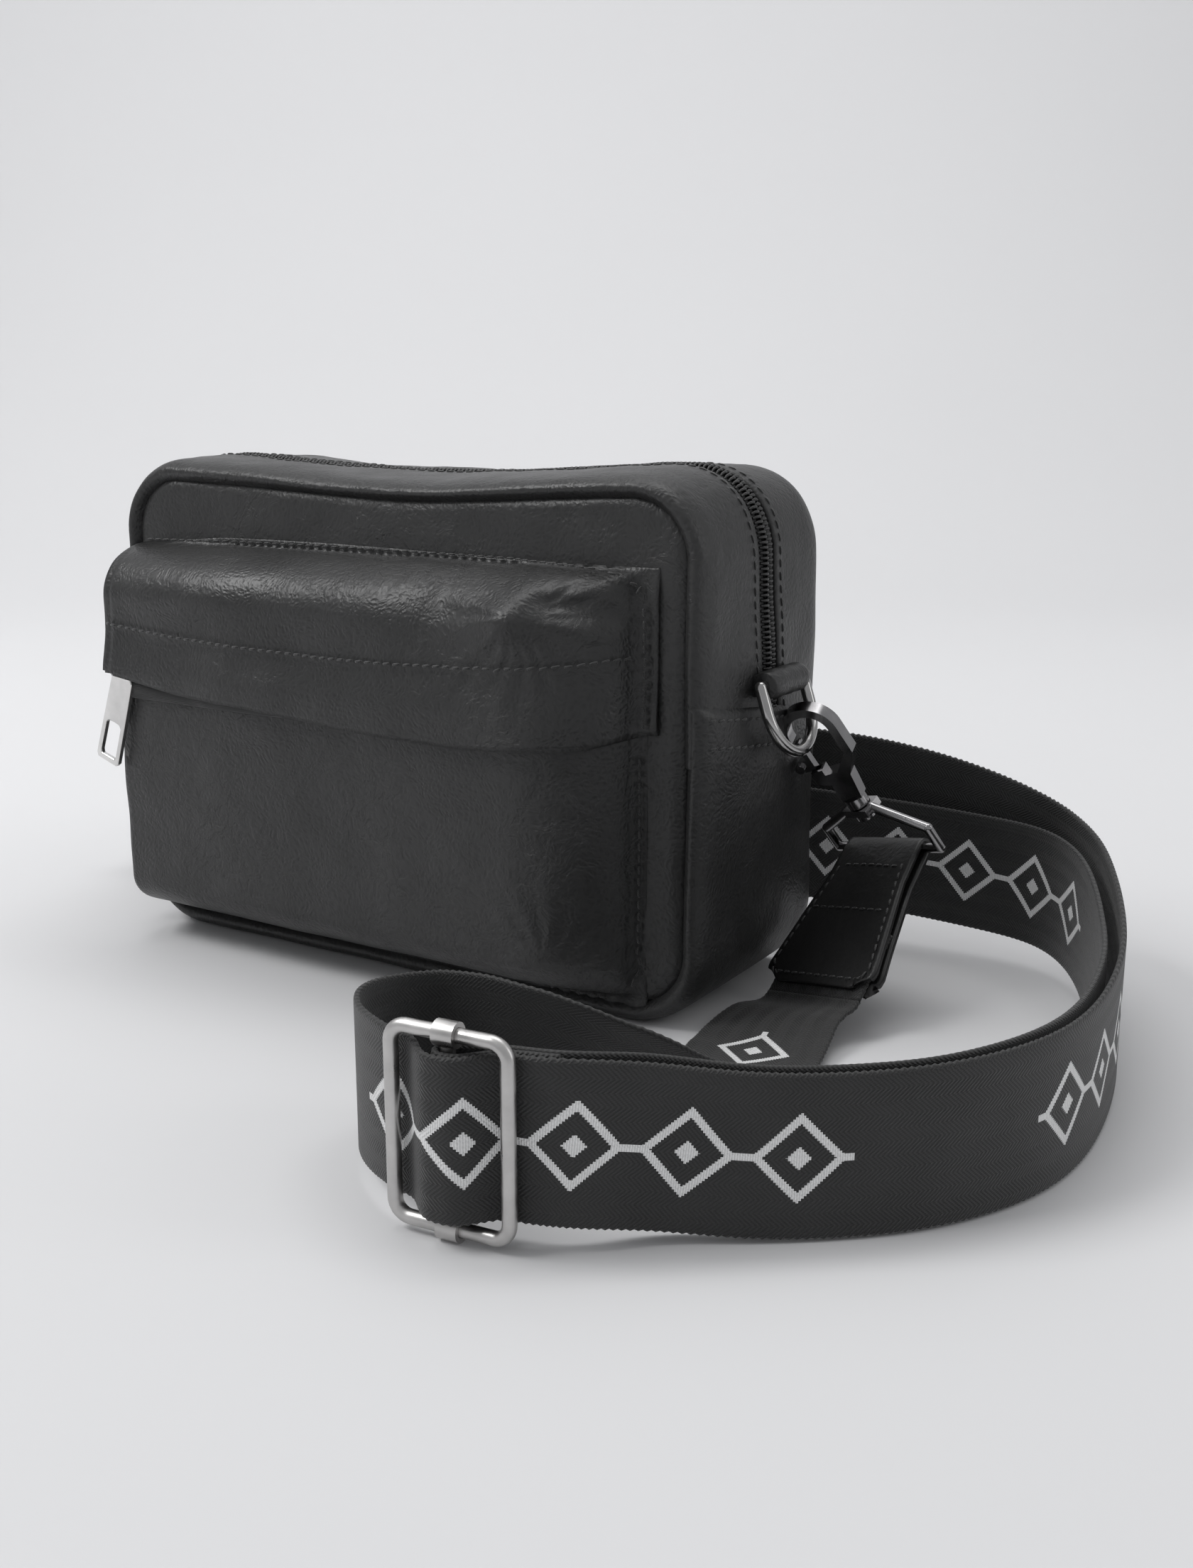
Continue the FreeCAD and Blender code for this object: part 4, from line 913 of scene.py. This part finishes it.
left_dir = unit(vec(1, 0, 0) - left_up * left_up[0]) * half_turn
leave = vec(0, 0.98, -0.06)
leave = unit(leave - left_dir * leave.dot(left_dir))
outward = unit(np.cross(left_dir, leave))
YOKE_WRAP = 1.5 + 0.8 + 0.5


def near_bar(along, across):
    return (left_mid + leave * along + outward * across, left_dir)


def beside_bag(offset):
    run = [(-136.6, 31, 32.6, 0.15), (-136.4, 42, 32.4, 0.45), (-135, 53, 33, 0.78),
           (-131.5, 64, 34.4, 1), (-123.5, 74.5, 35.8, 1), (-110.5, 81, 37, 1)]
    ends = [left_mid + leave * 16] + [vec(*p[:3]) for p in run] + [vec(-93, 82, 38)]
    out = []
    for i, (x, y, z, share) in enumerate(run, start=1):
        wide = left_dir * (1 - share) + vec(0, 0, 1) * share
        heading = unit(ends[i + 1] - ends[i - 1])
        wide = unit(wide - heading * wide.dot(heading))
        out.append((vec(x, y, z) + unit(np.cross(wide, heading)) * offset, wide))
    return out


stations += beside_bag(-3.4)[::-1] + [near_bar(16, -2.8), near_bar(8, -YOKE_WRAP)]
stations += [near_bar(-YOKE_WRAP * math.sin(math.radians(d)), -YOKE_WRAP * math.cos(math.radians(d)))
             for d in (0, 45, 90, 135, 180)]
stations += [near_bar(8, YOKE_WRAP), near_bar(16, 2.8)] + beside_bag(3.4)
stations += standing([
    (-93, 84, 20), (-45, 75.5, 23), (10, 71.5, 27), (60, 72, 30), (100, 74.5, 31), (128, 77, 28),
    (155, 77.5, 22), (177, 71.5, 16), (192, 57, 12), (203, 36, 8.5), (212.6, 10, 5.5),
    (219.4, -15, 3), (222.6, -39, 1), (223, -57, 0.6), (220.4, -75, 0.6), (214, -91.5, 0.6),
    (204, -106.7, 0.6), (191, -119.5, 0.6), (173, -133, 1.4), (155.5, -145.2, 3.8)])
stations += by_glide([(20, 4.4), (15.5, 3.5), (12, 2.9), (9, 0.8), (6, -2.4), (3, -4.5), (0, -OUTER_WRAP),
                      (-3, -4.5), (-6, -2.4), (-9, 0.8), (-12, 2.9), (-15.5, 3.7), (-20, 5.6)])
stations += standing([(90, -156.5, 5.4), (79, -147, 3.8), (72.5, -136, 2.2), (72, -125, 1), (79, -115, 0.6)])
tab_end = BAR + TAB_DOWN * 53.5
lead = [(79, -115, 0), (91, -110.5, 5), (104, -107, 16), (115.5, -99.5, 36), (123.5, -87.5, 57),
        (128.5, -72.5, 75), (130.6, -56, 87), (129.6, -42, 90)]
for before, (x, y, angle), after in zip(lead, lead[1:], lead[2:]):
    heading = unit(vec(after[0] - before[0], after[1] - before[1], 0))
    flat_dir = vec(heading[1], -heading[0], 0)
    lean = math.radians(angle)
    stations.append((vec(x, y, 0.9 + HALF_WEB * math.cos(lean) + 0.6 * math.sin(lean)),
                     vec(0, 0, 1) * math.cos(lean) + flat_dir * math.sin(lean)))
stations += [(vec(129.6, -42, 2.2), vec(1, -0.08, 0)), (vec(128.1, -32, 3.3), vec(1, -0.05, 0.05)),
             (vec(127.3, -23.5, 4.7), vec(1, -0.16, 0.11)), (vec(127.9, -16, 5.4), vec(1, -0.29, 0.16))]
lift = np.cross(TAB_DOWN, BAR_DIR)
level_angle = math.atan2(-TAB_DOWN[2], lift[2])
for part in (1, 2 / 3, 1 / 3, 0):
    angle = level_angle * part
    stations.append((tab_end + TAB_DOWN * 7 * math.sin(angle) + lift * 7 * (1 - math.cos(angle)), BAR_DIR))


def natural_spline(marks, values, at):
    """Natural cubic spline through values at marks, sampled at the given marks."""
    n = len(marks)
    h = np.diff(marks)
    system = np.zeros((n, n))
    right = np.zeros((n, values.shape[1]))
    system[0, 0] = system[-1, -1] = 1
    for i in range(1, n - 1):
        system[i, i - 1], system[i, i], system[i, i + 1] = h[i - 1], 2 * (h[i - 1] + h[i]), h[i]
        right[i] = 6 * ((values[i + 1] - values[i]) / h[i] - (values[i] - values[i - 1]) / h[i - 1])
    second = np.linalg.solve(system, right)
    k = np.clip(np.searchsorted(marks, at) - 1, 0, n - 2)
    a = ((marks[k + 1] - at) / h[k])[:, None]
    b = 1 - a
    hk = h[k][:, None]
    return (a * values[k] + b * values[k + 1]
            + ((a ** 3 - a) * second[k] + (b ** 3 - b) * second[k + 1]) * hk ** 2 / 6)


def ribbon(name, stations, width, thick, body, node, step=0.9, first=0.0):
    points = np.array([p for p, w in stations])
    widths = np.array([w / np.linalg.norm(w) for p, w in stations])
    marks = np.concatenate([[0], np.cumsum(np.linalg.norm(np.diff(points, axis=0), axis=1))])
    at = [0.0]
    for a, b in zip(marks, marks[1:]):
        count = max(1, round((b - a) / 4))
        at += [a + (b - a) * (i + 1) / count for i in range(count)]
    at = np.array(at)
    centre = natural_spline(marks, points, at)
    along = (natural_spline(marks, points, np.minimum(at + 0.02, marks[-1]))
             - natural_spline(marks, points, np.maximum(at - 0.02, 0)))
    along /= np.linalg.norm(along, axis=1)[:, None]
    wide = np.stack([np.interp(at, marks, widths[:, i]) for i in range(3)], axis=1)
    wide -= along * np.sum(wide * along, axis=1)[:, None]
    wide /= np.linalg.norm(wide, axis=1)[:, None]
    edges = natural_spline(at, np.hstack([centre, wide]), np.linspace(0, at[-1], int(at[-1] / step) + 1))
    at = np.linspace(0, at[-1], len(edges))
    centre, wide = edges[:, :3], edges[:, 3:]
    along = np.gradient(centre, at, axis=0)
    normal = np.cross(along, wide)
    normal /= np.linalg.norm(normal, axis=1)[:, None]
    columns = [-1.0, -0.985, -0.95, -0.88, -0.7, -0.45, -0.15, 0.15, 0.45, 0.7, 0.88, 0.95, 0.985, 1.0]
    verts, uvs = [], []
    count = len(columns)
    for i, mark in enumerate(at):
        scallop = 1 + 0.012 * math.sin(mark * 2 * math.pi / 1.8)
        cup = 0.25 * lumps(mark, 0, 0, 45, 2.0)
        for side in (1, -1):
            for t in columns if side > 0 else columns[::-1]:
                round_edge = math.sqrt(max(0.0, 1 - max(0.0, (abs(t) - 0.95) / 0.05) ** 2))
                edge = scallop if abs(t) > 0.9 else 1.0
                p = (centre[i] + wide[i] * (t * width / 2 * edge)
                     + normal[i] * (side * thick / 2 * (0.25 + 0.75 * round_edge) + cup * (t * t - 0.4)))
                verts.append(tuple(p))
                uvs.append(((t + 1) * width / 2, mark + first))
    total = 2 * count
    faces = grid_faces(len(at), total, close_cols=True)
    faces.append(tuple(range(total))[::-1])
    faces.append(tuple((len(at) - 1) * total + j for j in range(total)))
    obj = new_piece(name, verts, faces, WEB_BACK, body, uvs)
    obj.data.materials.append(WEB_FACE)
    index = np.zeros(len(obj.data.polygons), np.int32)
    for i in range(len(at) - 1):
        for j in range(count, total - 1):
            index[i * total + j] = 1
    obj.data.polygons.foreach_set("material_index", index)
    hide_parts(node)
    return obj, marks[-1]


strap, strap_length = ribbon("webbing_run", stations, 38, 1.55, "bag", "webbing_strap")
sewn = [(BAR + TAB_DOWN * d, BAR_DIR) for d in (53.4, 46, 38, 31)]
ribbon("webbing_end", sewn, 37.6, 1.5, "strap_tab", "webbing_sewn_end", first=strap_length)
print("strap length mm", round(strap_length))

# ---------------------------------------------------------------- floor, light and camera
YAW = math.radians(32)


def studio():
    """Pale sweep: floor that curves up behind the object."""
    back = Vector((-math.sin(YAW), math.cos(YAW), 0))
    side = Vector((math.cos(YAW), math.sin(YAW), 0))
    profile = [(-2600, 0), (-1200, 0), (0, 0), (900, 0)]
    profile += [(900 + 900 * math.sin(a), 900 * (1 - math.cos(a))) for a in
                [math.radians(d) for d in range(6, 91, 6)]]
    profile += [(1800, 1600), (1800, 3200)]
    verts = []
    for run, rise_z in profile:
        for k in (-1, -0.5, 0, 0.5, 1):
            p = back * run + side * (k * 3000)
            verts.append((p.x, p.y, rise_z - 0.05))
    n = Nodes("studio_paper")
    cloud = n.add("ShaderNodeTexNoise", {"Vector": n.place()}, Scale=3.0)
    paper = n.mix(cloud.outputs["Fac"], (0.64, 0.64, 0.648, 1), (0.655, 0.655, 0.663, 1))
    n.set(Base_Color=paper, Roughness=0.9, Specular_IOR_Level=0.1)
    mesh = bpy.data.meshes.new("studio_sweep")
    mesh.from_pydata([(x * MM, y * MM, z * MM) for x, y, z in verts], [], grid_faces(len(profile), 5))
    mesh.polygons.foreach_set("use_smooth", [True] * len(mesh.polygons))
    mesh.materials.append(n.mat)
    obj = bpy.data.objects.new("studio_sweep", mesh)
    bpy.context.scene.collection.objects.link(obj)


def area_light(name, place, target, size, power, tint=(1, 1, 1)):
    light = bpy.data.lights.new(name, "AREA")
    light.shape = "RECTANGLE"
    light.size, light.size_y = size
    light.energy = power
    light.color = tint
    obj = bpy.data.objects.new(name, light)
    bpy.context.scene.collection.objects.link(obj)
    obj.location = place
    obj.rotation_euler = (Vector(target) - Vector(place)).to_track_quat("-Z", "Y").to_euler()


studio()
area_light("key", (-0.85, -0.75, 1.35), (0, 0, 0.07), (0.8, 0.6), 15)
area_light("top", (-0.1, 0.4, 1.6), (0, 0, 0.05), (1.3, 0.9), 4)
area_light("rim", (1.5, 0.5, 0.7), (0.1, 0, 0.06), (0.5, 1.2), 3)
area_light("backdrop", (-0.2, 0.35, 2.3), (-1.0, 1.6, 1.0), (2.0, 1.0), 24)
world = bpy.data.worlds.new("soft_world")
world.use_nodes = True
world.node_tree.nodes["Background"].inputs["Color"].default_value = (0.93, 0.94, 0.96, 1)
world.node_tree.nodes["Background"].inputs["Strength"].default_value = 0.5
bpy.context.scene.world = world

camera = bpy.data.cameras.new("camera")
camera.sensor_fit = "HORIZONTAL"
camera.sensor_width = 36
camera.lens = 2300 / 1680 * 36
camera.clip_start = 0.01
eye = bpy.data.objects.new("camera", camera)
bpy.context.scene.collection.objects.link(eye)
eye.location = (0.315, -0.420, 0.176)
eye.rotation_euler = Euler((math.radians(90 - 13.2), 0, YAW), "XYZ")
bpy.context.scene.camera = eye
bpy.context.scene.view_settings.view_transform = "Standard"
